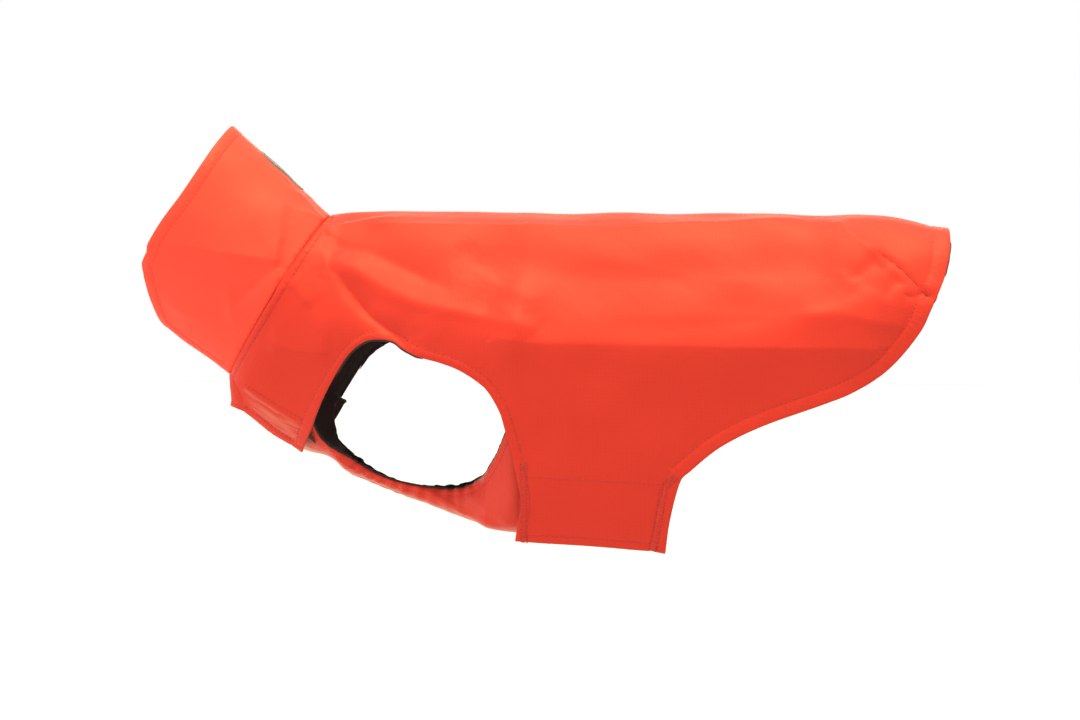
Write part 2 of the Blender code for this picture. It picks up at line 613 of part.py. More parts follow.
def collar(orange, reflective):
    """Standing collar, open at the throat, with a bound leash slit in its centre back."""
    form = FORMS["collar"]
    seam = form.rings - COLLAR_SEAM_RING
    tip = form.place(*COLLAR_TOP[0])[0]
    throat = form.place(*COLLAR_FRONT[-1])[1]
    first, last = SLIT_RINGS
    first_rim, last_rim = first - BINDING_MARGIN, last + BINDING_MARGIN
    rows = np.linspace(0, 2, 60)
    widths = -form.point(np.full(60, first), rows)[:, 1]
    hole, rim = np.interp((SLIT_HALF_WIDTH, BINDING_HALF_WIDTH), widths, rows)
    outline = loop(
        np.concatenate([[(tip, 0)], edge(form, COLLAR_TOP, EDGE_STEP)[1:]]),
        np.concatenate([edge(form, COLLAR_FRONT, EDGE_STEP)[:-1], [(seam, throat)]]),
        straight(form, (seam, throat), (seam, 0), EDGE_STEP),
        straight(form, (seam, 0), (last_rim, 0), EDGE_STEP),
        straight(form, (last_rim, 0), (last, 0), EDGE_STEP),
        straight(form, (last, 0), (last, hole), EDGE_STEP),
        straight(form, (last, hole), (first, hole), EDGE_STEP),
        straight(form, (first, hole), (first, 0), EDGE_STEP),
        straight(form, (first, 0), (first_rim, 0), EDGE_STEP),
        straight(form, (first_rim, 0), (tip, 0), EDGE_STEP),
    )
    binding = np.concatenate([
        straight(form, (first_rim, 0), (first_rim, rim), EDGE_STEP)[:-1],
        straight(form, (first_rim, rim), (last_rim, rim), EDGE_STEP)[:-1],
        straight(form, (last_rim, rim), (last_rim, 0), EDGE_STEP),
    ])
    creases = [
        edge(form, path, EDGE_STEP)
        for name, where, path, _, _ in FOLDS
        if where == "collar" and name in CREASES
    ]
    numbers, faces, binding_faces = cut(form, outline, CLOTH_STEP, creases, None, (binding,))
    outer = outer_face("collar", numbers)
    wall("collar", outer, faces, COLLAR_CLOTH, True, orange)
    raised = layer(outer, faces, -BINDING_CLOTH - GAP)
    wall("leash_binding", raised, binding_faces[0], BINDING_CLOTH, True, reflective)


def chest(orange, charcoal, black):
    """Chest panel from the neck straps between the legs to the belly flaps, and its lining."""
    form = FORMS["chest"]
    wing_front = (CHEST_FRONT_RING, form.place(*CHEST_WING_TOP[-1])[1])
    rear_top = form.place(*CHEST_REAR_TOP[0])
    gathered = edge(form, CHEST_LEG_EDGE[GATHERED], GATHER_STEP)
    outline = loop(
        gathered,
        edge(form, CHEST_LEG_EDGE[GATHERED.stop - 1:], WING_STEP),
        np.concatenate([edge(form, CHEST_WING_TOP, EDGE_STEP)[:-1], [wing_front]]),
        straight(form, wing_front, (CHEST_FRONT_RING, form.rows), EDGE_STEP),
        straight(form, (CHEST_FRONT_RING, form.rows), (CHEST_REAR_RING, form.rows), EDGE_STEP),
        straight(form, (CHEST_REAR_RING, form.rows), (CHEST_REAR_RING, rear_top[1]), EDGE_STEP),
        np.concatenate([[(CHEST_REAR_RING, rear_top[1])], edge(form, CHEST_REAR_TOP, EDGE_STEP)[1:]]),
        edge(form, CHEST_LEG_EDGE[:GATHERED.start + 1], EDGE_STEP),
    )
    tapes = (tape_outline(form, CHEST_LOOP), tape_outline(form, BELLY_LOOP))
    fine = (slice(0, len(gathered)), GATHER_ROWS)
    numbers, faces, tape_faces = cut(form, outline, CHEST_STEP, (), fine, tapes)
    inset = CHEST_DEPTH * np.interp(numbers[:, 0], range(form.rings + 1), CHEST_INSET)
    outer = outer_face("chest", numbers, inset)
    wall("chest_panel", outer, faces, SHELL, True, orange)
    wall("chest_lining", layer(outer, faces, LINING_DEPTH), faces, LINING, True, charcoal)
    loops = layer(outer, faces, -TAPE - GAP)
    tape_pair("chest_loop", loops, tape_faces[0], black)
    tape_pair("belly_loop", loops, tape_faces[1], black)


def build():
    for old in list(bpy.data.objects):
        bpy.data.objects.remove(old, do_unlink=True)
    collection = bpy.data.collections.new(NAME)
    bpy.context.scene.collection.children.link(collection)
    orange = material("orange rain cloth", ORANGE, 0.55)
    charcoal = material("charcoal lining", CHARCOAL, 0.7)
    black = material("black hook-and-loop tape", BLACK, 0.9)
    reflective = material("grey reflective binding", REFLECTIVE, 0.4)
    coat(orange, charcoal, black)
    collar(orange, reflective)
    chest(orange, charcoal, black)


if __name__ == "__main__":
    build()
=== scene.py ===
"""Looks of a high-visibility rain jacket for a dog, filled out as when it is worn.

Tables are in millimetres in the frame's axes: +X toward the tail, the left side at -Y, +Z up.
Each cloth is cut finely from the same forms as the frame's solids, then folded, hemmed and sewn.
"""
import functools
import itertools
import math

import bpy
import numpy as np
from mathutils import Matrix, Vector
from mathutils.geometry import delaunay_2d_cdt
from mathutils.kdtree import KDTree


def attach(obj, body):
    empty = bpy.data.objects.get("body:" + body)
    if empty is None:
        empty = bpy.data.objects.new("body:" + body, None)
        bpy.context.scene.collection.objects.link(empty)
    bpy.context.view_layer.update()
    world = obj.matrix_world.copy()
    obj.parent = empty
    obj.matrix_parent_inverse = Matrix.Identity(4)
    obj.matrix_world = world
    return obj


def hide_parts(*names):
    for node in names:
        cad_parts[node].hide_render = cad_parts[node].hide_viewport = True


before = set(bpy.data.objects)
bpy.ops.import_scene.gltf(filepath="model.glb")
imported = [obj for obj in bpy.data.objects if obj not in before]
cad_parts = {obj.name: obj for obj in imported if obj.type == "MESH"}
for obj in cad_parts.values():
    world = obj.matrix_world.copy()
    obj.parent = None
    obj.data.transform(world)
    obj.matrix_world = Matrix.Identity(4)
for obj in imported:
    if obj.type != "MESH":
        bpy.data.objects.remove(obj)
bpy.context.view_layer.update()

MM = 0.001

# Cloth thickness, and how deep the outer face of each layer lies below that of the cloth it is
# sewn to; the loop tapes lie outside the chest panel
SHELL = 1.0
LINING = 0.6
TAPE = 1.2
COLLAR_CLOTH = 1.5
LINING_DEPTH = 1.3
HOOK_DEPTH = 2.8
LOOP_DEPTH = -TAPE - 0.3
# How far the chest panel's outer face lies below the coat's
CHEST_DEPTH = 7.3

# Spacing of points in open cloth, along its edges, in tapes and along stitched lines, spacing of
# the points at which an edge is laid on its form, and of those that measure the way to an edge
CLOTH_STEP = 2.8
EDGE_STEP = 2.2
TAPE_STEP = 2.5
STITCH_STEP = 1.2
PATH_STEP = 3.0
LINE_STEP = 0.5
# Points beside a hem's edge and its topstitch, as distances from them
BESIDE_EDGE = (0.9, 2.4)
BESIDE_STITCHES = (-1.3, 0, 1.3, 3.2)

# Stitches: length, gap and radius; along each, share of its length, height and share of its radius
STITCH = 2.7
STITCH_GAP = 0.9
THREAD = 0.28
STITCH_SHAPE = ((0, -0.35, 0.5), (0.2, 0.12, 1), (0.8, 0.12, 1), (1, -0.35, 0.5))
# Zigzag bars: radius of their thread, and length, gap and radius of the dots along their sides
ZIGZAG_THREAD = 0.2
ZIGZAG_DOTS = (0.9, 1.3, 0.24)

# Steps to a ring or a profile row, where a form is searched and where its flat pattern is made
SEARCH_STEPS = 12
PATTERN_STEPS = 8
# Points that are measured against a path at one time
POINTS_AT_ONCE = 4000

# Half sections from the spine (or the top of a low ring) to the keel:
# share of the ring's depth, share of its half width
PROFILES = {
    "neck": (
        (0, 0), (0.012, 0.13), (0.050, 0.33), (0.13, 0.60), (0.24, 0.82), (0.37, 0.96),
        (0.50, 1.0), (0.66, 0.94), (0.80, 0.77), (0.91, 0.50), (0.975, 0.24), (1, 0),
    ),
    "trunk": (
        (0, 0), (0.010, 0.12), (0.034, 0.27), (0.10, 0.50), (0.20, 0.73), (0.31, 0.90),
        (0.40, 0.99), (0.58, 1.0), (0.76, 0.95), (0.90, 0.80), (0.975, 0.42), (1, 0),
    ),
    "wing": (
        (0, 1.0), (0.12, 1.0), (0.25, 0.995), (0.38, 0.985), (0.50, 0.965), (0.62, 0.94),
        (0.74, 0.90), (0.84, 0.83), (0.92, 0.73), (0.97, 0.55), (0.995, 0.28), (1, 0),
    ),
    "channel": (
        (0, 0.70), (0.10, 0.80), (0.20, 0.88), (0.30, 0.94), (0.40, 0.98), (0.50, 1.0),
        (0.60, 1.0), (0.70, 0.96), (0.80, 0.86), (0.90, 0.66), (0.97, 0.36), (1, 0),
    ),
}

# Rings: name, top x and z, keel x and z, half width, how far the flank lies behind, profile
COLLAR_RINGS = (
    ("collar_out", -145.8, 85.4, -232.8, -60.7, 58, 14, "neck"),
    ("collar_mid", -98.8, 42.8, -182.8, -97.6, 61, 13, "neck"),
    ("neck_seam", -51.1, 0.4, -133.7, -133.6, 64, 5, "neck"),
)
COAT_RINGS = (
    ("neck_seam", -51.1, 0.4, -133.7, -133.6, 64, 5, "neck"),
    ("withers", -38.5, 2.2, -135.5, -157.4, 67, 12, "neck"),
    ("strap_mid", -25.0, 2.7, -104.8, -178.5, 71, 11, "neck"),
    ("strap_rear", -9.0, 2.7, -76.6, -197.2, 76, 10, "neck"),
    ("leg_front", 8.0, 2.6, -39.4, -219.1, 81, 8, "trunk"),
    ("leg_mid", 28.0, 2.6, -2.3, -238.4, 85, 5, "trunk"),
    ("leg_rear", 59.0, 2.5, 47.0, -260.8, 88, 2, "trunk"),
    ("flap_front", 103.0, 1.5, 100.1, -279.8, 89, 0, "trunk"),
    ("flap_mid", 160.9, 0.5, 161.1, -288.9, 88, 0, "trunk"),
    ("flap_rear", 213.2, 0.4, 217.8, -288.2, 87, 0, "trunk"),
    ("loin", 257.2, 0.2, 274.0, -277.8, 84, 0, "trunk"),
    ("haunch", 297.0, -0.7, 325.9, -253.1, 80, 0, "trunk"),
    ("croup", 336.7, -1.2, 369.4, -216.5, 74, 0, "trunk"),
    ("rump", 377.8, -1.3, 408.8, -180.2, 66, 0, "trunk"),
    ("tail", 415.6, -5.4, 436.9, -152.1, 57, 0, "trunk"),
    ("tail_end", 449.3, -14.6, 451.7, -136.1, 47, 0, "trunk"),
)
WING_RINGS = ("withers", "strap_mid", "strap_rear")
WING_START = 0.6
CHEST_RINGS = (
    ("gullet", -33.0, -158.0, -52.0, -200.0, 37, 0, "channel"),
    ("brisket_front", -27.0, -184.0, -35.2, -210.0, 25, 0, "channel"),
    ("brisket_mid", -8.0, -195.0, -14.6, -217.6, 21, 0, "channel"),
    ("brisket_rear", 37.0, -210.0, 30.6, -235.0, 21, 0, "channel"),
    ("between_legs", 70.0, -208.0, 63.0, -247.0, 29, 0, "channel"),
    ("belly_front", 86.0, -184.0, 80.3, -253.5, 51, 0, "wing"),
    ("wing_front", 101.0, -150.0, 103.0, -259.5, 76, 0, "wing"),
    ("wing_mid", 125.0, -150.0, 127.0, -264.0, 85, 0, "wing"),
    ("belly_mid", 175.0, -150.0, 177.0, -266.0, 86, 0, "wing"),
    ("belly_rear", 218.0, -150.0, 221.0, -266.0, 85, 0, "wing"),
)
# How far the chest panel lies inside its form, ring by ring, as a share of CHEST_DEPTH
CHEST_INSET = (1, 1, 1, 0.45, 0, 0, 0, 0, 0.15, 0.7, 1, 1, 1)

# Edges in the side view, x and z, each one smooth stretch between two corners
STRAP_FRONT = ((-126.0, -138.5), (-125.8, -146.0), (-128.2, -153.5))
STRAP_END = ((-128.2, -153.5), (-115.8, -159.5), (-98.0, -174.6), (-82.4, -184.0), (-70.1, -191.2))
LEG_HOLE = (
    (-70.1, -191.2), (-58.5, -173.0), (-49.0, -154.8), (-37.7, -134.7), (-22.9, -112.0),
    (-8.6, -100.6), (5.0, -98.9), (14.5, -100.9), (20.7, -105.6), (33.3, -112.0), (50.9, -116.7),
    (66.5, -122.7), (82.0, -132.7), (89.8, -141.1), (97.5, -154.9), (101.3, -168.0),
    (105.8, -183.4), (108.8, -198.9), (112.0, -214.5), (112.1, -230.3), (107.0, -255.9),
)
FLAP_END = ((107.0, -255.9), (134.5, -257.7), (173.4, -259.6), (223.6, -262.8))
REAR_HEM = (
    (223.6, -262.8), (227.7, -236.5), (235.4, -207.4), (243.0, -198.9), (265.8, -180.4),
    (296.2, -165.0), (341.8, -148.3), (364.7, -139.2), (387.7, -125.5), (403.0, -111.8),
    (418.4, -91.9), (426.2, -75.9), (434.1, -59.7), (438.6, -48.9), (443.3, -29.4), (445.1, -13.9),
)
COLLAR_TOP = (
    (-131.6, 72.5), (-135.8, 61.6), (-146.6, 37.9), (-160.3, 13.7), (-176.4, -9.2), (-193.8, -38.3),
)
COLLAR_FRONT = (
    (-193.8, -38.3), (-193.9, -45.0), (-192.1, -68.7), (-188.1, -86.6), (-180.0, -93.1),
    (-163.4, -105.3), (-146.4, -116.5), (-127.5, -129.3),
)
CHEST_LEG_EDGE = (
    (105.0, -156.8), (99.3, -165.5), (94.6, -176.6), (89.6, -189.1), (86.6, -195.1),
    (80.0, -206.3), (74.0, -211.5), (62.3, -218.4), (41.5, -220.5), (9.1, -215.2),
    (-15.3, -205.7), (-35.1, -192.9), (-43.4, -187.6), (-51.7, -183.2), (-57.0, -171.1),
    (-57.0, -159.0),
)
# Ring numbers at which the pieces end are given where an end follows its ring
CHEST_WING_TOP = ((-57.0, -159.0), (-80.5, -144.6), (-99.9, -135.0))
CHEST_FRONT_RING = 0.35
CHEST_REAR_RING = 11.93
CHEST_REAR_TOP = ((217.5, -157.0), (160.0, -157.5), (106.0, -156.8))
COAT_FRONT_RING = 0.0
COLLAR_SEAM_RING = 0.002

# Four corners of each tape in the side view: upper front, upper rear, lower rear, lower front
STRAP_HOOK = ((-112.8, -134.6), (-64.1, -167.7), (-73.0, -183.5), (-109.3, -155.2))
CHEST_LOOP = ((-98.0, -146.0), (-66.0, -168.0), (-58.0, -187.0), (-103.0, -160.5))
FLAP_HOOK = ((120.3, -205.8), (216.3, -212.9), (216.0, -250.0), (119.4, -245.0))
BELLY_LOOP = ((120.3, -204.0), (213.0, -209.0), (213.0, -246.0), (119.4, -243.0))

# Opening for a leash in the collar's centre back
SLIT_RINGS = (0.86, 1.46)
SLIT_HALF_WIDTH = 1.6
WELT_WIDTH = 4.2
WELT_HEIGHT = 3.4
WELT_OVERLAP = 0.6
# Its size along the slit: least, how much more at its fullest, where that is, and its spread
WELT_BULGE = (0.5, 0.55, 0.38, 0.2)

# Hems: how far inside each edge its topstitch runs, how much the hem stands up and flares out,
# and how deep the topstitch and the neck seam lie
COAT_HEMS = {"seam": 7.0, "strap_front": 7.0, "strap_end": 7.0, "leg": 7.0, "flap": 7.5, "rear": 10.0}
COLLAR_HEMS = {"top": 9.5, "front": 9.5}
CHEST_HEMS = {"leg": 5.0, "wing": 6.0, "rear_top": 6.0, "rear": 9.0}
HEM_RISE = 0.4
HEM_FLARE = {"leg": 0.35, "rear": 2.2, "strap_front": 0.6, "strap_end": 0.5}
STITCH_DIP = 0.45
SEAM_DIP = 0.55
THROAT_FADE = 16.0
BORDER_ROUNDING = 0.45
# How wide the steps at the topstitch, the neck seam and the outer edge are
HEM_STEP = 1.4
STITCH_WIDTH = 0.9
SEAM_WIDTH = 1.2
BORDER_WIDTH = 0.8
# Puckers along the topstitch: pitch, height on most edges and on some, how far in they reach, and
# how far along the wave the right side starts
PUCKER_PITCH = 7.5
PUCKER_HEIGHT = 0.18
PUCKER_HEIGHTS = {"leg": 0.28}
PUCKER_REACH = 5
RIGHT_WAVE = 900
# At the neck seam: least height, how much more at the spine, and over what width
SEAM_PUCKERS = (0.25, 0.55, 45)
# Fine puckers in the finish: strength along plain hems, and how far from the spine they grow weak
PLAIN_CRIMP = 0.35
CRIMP_REACH = 60
# Lining rolled out past an edge: edge, share of its length, way out, depth, radius
COAT_ROLLS = (("leg", (0.25, 0.49), 0.4, 1.2, 0.9), ("rear", (0.85, 0.94), 0.3, 1.2, 0.75))
CHEST_ROLL = ("leg", (0.0, 1.0), 0.45, 1.0, 0.95)

# Folds: name, form, path in the side view, height, reach to the left and right of the path's
# heading, roundness of its crest, length over which it fades in and out
FOLDS = (
    ("knee_front", "coat", ((-49, -15), (-42, -10), (-30, -7), (-7, -4), (19, -3)),
        1.9, 3, 12, 0.5, 4, 30),
    ("back_knee", "coat", ((-20, -8), (37, -10), (107, -11), (178, -12), (242, -9), (297, -7), (335, -4)),
        3.2, 9, 22, 0.5, 30, 40),
    ("flank_trough", "coat", ((48, -34), (107, -44), (178, -48), (260, -48), (336, -44), (376, -44)),
        -3.8, 24, 30, 10, 50, 40),
    ("yoke_trough", "coat", ((-51, -26), (-42, -25), (-27, -26), (-6, -32), (20, -43), (50, -57), (72, -66)),
        -3.4, 13, 10, 3, 14, 45),
    ("yoke_crest", "coat",
        ((-46, -33), (-32, -41), (-17, -48), (-2, -57), (18, -67),
            (37, -74), (73, -81), (100, -88), (136, -98)),
        5.2, 13, 15, 2.6, 30, 34),
    ("shoulder_valley", "coat",
        ((-45, -37), (-32, -51), (-18, -67), (-6, -80), (6, -89), (17, -97), (36, -112)),
        -6.4, 22, 4.5, 0.9, 40, 30),
    ("shoulder_small", "coat", ((-74, -51), (-64, -62), (-52, -76)), 1.8, 14, 4, 0.8, 8, 10),
    ("shoulder_pull", "coat", ((-60, -41), (-48, -50), (-38, -62)), -0.6, 7, 5, 0.8, 8, 8),
    ("saddle", "coat", ((70, -39), (93, -55), (111, -65), (131, -80)), 1.7, 14, 12, 3, 20, 20),
    ("saddle_valley", "coat", ((58, -21), (78, -39), (107, -63)), -1.5, 12, 12, 3, 16, 16),
    ("flank_crease", "coat", ((78, -99), (113, -102), (143, -103), (266, -105), (402, -106)),
        7.0, 42, 34, 0.7, 34, 30),
    ("flank_upper", "coat", ((173, -81), (250, -82), (336, -81), (380, -80)), 0.9, 16, 12, 1.5, 40, 30),
    ("flank_pull", "coat", ((87, -71), (108, -82), (126, -96)), 1.4, 12, 8, 2, 14, 10),
    ("back_soft", "coat", ((150, -30), (205, -42), (262, -52), (312, -56)), 0.9, 16, 12, 3, 30, 30),
    ("band_fold", "coat", ((-91, -105), (-76, -107), (-60, -109), (-36, -111)), 2.4, 15, 3.6, 0.8, 10, 8),
    ("dart", "coat", ((386, -29), (403, -42), (413, -52), (422, -62), (427, -67)),
        -1.7, 2.2, 6, 0.3, 16, 1),
    ("dart_ridge", "coat", ((352, -5), (365, -16), (374, -23), (389, -31), (398, -37)),
        2.3, 7, 20, 0.4, 12, 18),
    ("tail_valley_a", "coat", ((388, -35), (377, -44), (364, -56)), -2.2, 8, 8, 1.6, 6, 12),
    ("tail_valley_b", "coat", ((405, -49), (397, -58), (390, -71)), -2.0, 7, 7, 1.6, 6, 10),
    ("tail_ridge", "coat", ((318, -82), (336, -81), (360, -80), (386, -86), (408, -88)),
        1.7, 12, 7, 1.2, 20, 8),
    ("tuck", "coat", ((404, -62), (411, -66), (422, -64), (430, -68)), -1.6, 4, 2.4, 0.5, 6, 1),
    ("collar_crease", "collar",
        ((-187, -21), (-182, -22), (-157, -26), (-136, -30), (-117, -33), (-94, -36), (-78, -38)),
        5.4, 26, 15, 0.7, 2, 6),
    ("collar_vee", "collar", ((-75, -36), (-86, -45), (-101, -58), (-111, -67), (-121, -76)),
        -2.5, 5, 18, 0.8, 12, 16),
    ("collar_streak", "collar", ((-124, -48), (-120, -71), (-118, -94)), 1.3, 7, 4, 0.8, 12, 14),
    ("collar_low", "collar", ((-176, -66), (-165, -77), (-151, -80), (-125, -80)), 1.0, 8, 5, 1.0, 8, 14),
    ("collar_back", "collar", ((-100, 42), (-84, 27), (-67, 11)), 0.9, 5, 7, 0.6, 12, 8),
    ("nape_a", "collar", ((-86, 25), (-70, 13), (-58, 1), (-52, -4)), 1.1, 3, 3, 0.5, 14, 1),
    ("nape_b", "collar", ((-74, 3), (-62, 0), (-53, -5)), 0.9, 3, 3, 0.5, 10, 1),
    ("nape_c", "collar", ((-93, 12), (-75, 3), (-59, -8)), 0.45, 3, 4, 0.5, 20, 1),
    ("nape_d", "collar", ((-88, -4), (-74, -9), (-62, -16)), 0.3, 3, 5, 0.5, 16, 1),
    ("strap_a", "coat", ((-114, -135), (-90, -151), (-66, -168)), 1.1, 3, 5, 0.5, 6, 6),
    ("strap_b", "coat", ((-113, -144), (-92, -158), (-70, -174)), 1.2, 3, 6, 0.5, 6, 8),
    ("strap_c", "coat", ((-110, -153), (-92, -166), (-76, -179)), 0.9, 3, 5, 0.5, 8, 10),
    ("gullet_a", "chest", ((-50, -186), (-36, -191), (-27, -199), (-15, -207), (-4, -214)),
        1.5, 2.5, 6, 0.5, 6, 8),
    ("gullet_b", "chest", ((-44, -196), (-30, -203), (-14, -211), (4, -218)), 1.3, 2.5, 5, 0.5, 6, 10),
    ("brisket_a", "chest", ((-13, -206), (7, -215), (24, -220), (42, -227), (60, -236), (88, -242)),
        1.6, 2.5, 7, 0.5, 6, 16),
    ("brisket_b", "chest", ((31, -221), (46, -230), (67, -240), (92, -248)), 1.5, 2.5, 7, 0.5, 6, 14),
    ("flap_gap", "chest", ((101, -166), (106, -200), (110, -248)), -3.0, 4, 3, 0.5, 12, 8),
    ("belly_a", "chest", ((62, -222), (84, -236), (108, -247)), 1.3, 5, 9, 1.0, 10, 16),
)
# How far the small folds lie from their places on the right
RIGHT_SHIFT = 7.0
DART_SEAM = ((387.8, -30.4), (403.3, -42.2), (413.5, -52.0), (422.1, -61.7), (425.0, -65.0))

# Edges that hang a little differently on the right: name, form, path in the side view, move,
# reach, lengths over which it fades in and out
SWAYS = (
    ("leg_front_sway", "coat", ((-50, -155), (-38, -135), (-25, -115), (-9, -102)), (-7.0, 0, 0), 24, 4, 26),
    ("flap_rear_sway", "coat", ((223, -262), (227, -240), (236, -208)), (-8.0, 0, 0), 18, 0.5, 34),
    ("belly_rear_sway", "chest", ((218, -263), (218, -230), (218, -200)), (-6.0, 0, 0), 16, 0.5, 30),
    ("chest_leg_sway", "chest", ((-52, -178), (-35, -193), (-15, -206), (9, -215), (41, -220), (68, -215)),
        (0, 0, -6.4), 16, 6, 70),
)

# Folds that lie alike on both sides
MATCHED = (
    "back_knee", "flank_trough", "flank_crease", "dart", "dart_ridge", "collar_crease", "knee_front",
    *(row[0] for row in SWAYS),
)

# Further lines of stitches on the coat in the side view, and bars of zigzag: ends, width, pitch
STITCHED_LINES = (
    ((120.0, -204.2), (174.2, -207.0), (225.0, -209.8)),
    ((-111.0, -135.0), (-90.2, -148.0), (-65.0, -163.0)),
    ((-114.6, -154.0), (-95.0, -168.0), (-73.4, -183.5)),
    ((-65.0, -163.0), (-69.0, -173.0), (-73.4, -183.5)),
)
ZIGZAG_BARS = (
    ((115.6, -194.0), (114.4, -257.0), 5.4, 2.4),
    ((115.4, -193.0), (115.8, -199.0), 4.0, 1.2),
    ((114.5, -252.5), (114.4, -257.6), 5.0, 1.2),
    ((232.6, -202.3), (223.0, -211.5), 4.6, 1.4),
    ((223.0, -212.0), (214.2, -260.5), 5.4, 2.4),
    ((215.2, -254.5), (214.1, -261.0), 5.0, 1.2),
)

# Broad unevenness of the cloth, and its fine unevenness: height, size
BROAD = (0.6, 72.0)
FINE = (0.035, 18.0)
UNEVEN_WAVES = 9

# Elastic gathers along the leg edge of the chest panel
GATHERED = slice(6, 14)
GATHERS = 14
GATHER_HEIGHT = 1.3
GATHER_REACH = 11.0

# Dye of the rain cloth as linear red, green and blue, pitch of its ripstop grid, and how much
# brighter the collar is painted, as painted light that shines through it since no dark lining lies behind it
DYE = (0.61, 0.0345, 0.0205)
RIPSTOP_PITCH = 3.2
COLLAR_PAINTED_GLOW = 1.80
# Painted highlights: pale streaks where a tape is sewn behind the cloth, standing for light on its crinkles:
# colour, length, width, least and most
PAINTED_STREAK_COLOUR = (0.62, 0.125, 0.085)
STREAK_LENGTH = 26
STREAK_WIDTH = 3.2
STREAK_RANGE = (0.10, 0.62)
# Painted highlights on the chest panel, pale streaks standing for light on its creases: their strength, and
# before which x they start
CHEST_PAINTED_SHEEN = 0.55
CHEST_PAINTED_SHEEN_BEFORE = 90

# Stage in metres; suns by name, direction, strength, angle and colour; one low light by name,
# place, direction, size and power; camera
FLOOR_HALF = 9.0
FLOOR_LEVEL = -0.56
FLOOR_COLOUR = (0.47, 0.46, 0.54)
SUNS = (
    ("overhead", (-0.10, 0.05, -1.0), 4.9, 28, (0.92, 1.0, 0.52)),
    ("front", (1.0, 0.25, 0.1), 1.45, 60, (1.0, 1.0, 1.0)),
    ("rim", (0.0, -1.0, -0.45), 0.9, 40, (1.0, 0.8, 0.6)),
)
LOW_LIGHT = ("low front", (-0.95, -0.75, -0.48), (0.95, 0.72, 0.26), (0.8, 0.5), 2.5)
CAMERA_AZIMUTH = 5
CAMERA_ELEVATION = 2
CAMERA_AIM = (0.1205, 0.0, -0.1172)
CAMERA_DISTANCE = 1.69
CAMERA_LENS = 69.67


# ---- Curves ----


def smooth(t):
    t = np.clip(t, 0, 1)
    return t * t * (3 - 2 * t)


def weights(t):
    """Catmull-Rom weights of four neighbours at t between the inner two."""
    return (
        0.5 * (-(t**3) + 2 * t**2 - t),
        0.5 * (3 * t**3 - 5 * t**2 + 2),
        0.5 * (-3 * t**3 + 4 * t**2 + t),
        0.5 * (t**3 - t**2),
    )


def padded(points):
    """Points with one more at each end, carried straight on."""
    return np.concatenate([2 * points[:1] - points[1:2], points, 2 * points[-1:] - points[-2:-1]])


def through(points, t):
    """A smooth curve through points, read at point numbers t."""
    i = np.minimum(t.astype(int), len(points) - 2)
    return sum(w[:, None] * padded(points)[i + k] for k, w in enumerate(weights(t - i)))


def lengths(path):
    """Length of a path up to each of its points."""
    return np.concatenate([[0], np.cumsum(np.linalg.norm(np.diff(path, axis=0), axis=1))])


def read_at(wanted, known, values):
    """Rows of values given at known lengths, read at the wanted ones."""
    return np.stack([np.interp(wanted, known, column) for column in values.T], axis=1)


def respaced(values, path, step):
    """Values a step apart along the length of a path."""
    length = lengths(path)
    return read_at(np.linspace(0, length[-1], max(1, round(length[-1] / step)) + 1), length, values)


def curve(points, step):
    """Points about a step apart along a smooth curve through the given ones."""
    points = np.array(points, float)
    dense = through(points, np.linspace(0, len(points) - 1, (len(points) - 1) * 24 + 1))
    return respaced(dense, dense, step)


def square_to(line):
    """Unit vectors square to a flat line."""
    along = np.gradient(line, axis=0)
    along /= np.linalg.norm(along, axis=1, keepdims=True)
    return np.stack([-along[:, 1], along[:, 0]], axis=1)


def wander(s, pitch, seed):
    """An uneven wave along a length s, between about -1 and 1."""
    turns = 2 * math.pi * np.asarray(s) / pitch
    return 0.5 * np.sin(turns + seed) + 0.3 * np.sin(1.618 * turns + 2.1 * seed) + 0.3 * np.sin(
        0.437 * turns + 3.7 * seed
    )


def unevenness(points, height, size, seed):
    """Smooth uneven relief over space."""
    spread = np.random.default_rng(seed)
    total = np.zeros(len(points))
    for _ in range(UNEVEN_WAVES):
        heading = spread.normal(size=3)
        heading *= 2 * math.pi / size * spread.uniform(0.6, 1.5) / np.linalg.norm(heading)
        total += np.sin(points @ heading + spread.uniform(0, 2 * math.pi))
    return height * total / 3


# ---- Forms and flat patterns ----


def lower_part(profile, start):
    """The stretch of a profile below a depth share, with as many rows as the whole."""
    rows = np.array(PROFILES[profile], float)
    path = through(rows, np.linspace(0, len(rows) - 1, 400))
    depths = start + (1 - start) * (1 - np.linspace(1, 0, len(rows)) ** 1.6)
    widths = np.interp(depths, path[:, 0], path[:, 1])
    widths[-1] = 0.0
    return tuple(zip((depths - start) / (1 - start), widths))


def wing_rings():
    """Lower parts of the coat's strap rings, on which the chest panel's front wings lie."""
    rings = []
    for name, top_x, top_z, keel_x, keel_z, *rest, profile in COAT_RINGS:
        if name in WING_RINGS:
            x = top_x + WING_START * (keel_x - top_x)
            z = top_z + WING_START * (keel_z - top_z)
            rings.append((name, x, z, keel_x, keel_z, *rest, lower_part(profile, WING_START)))
    return tuple(rings)


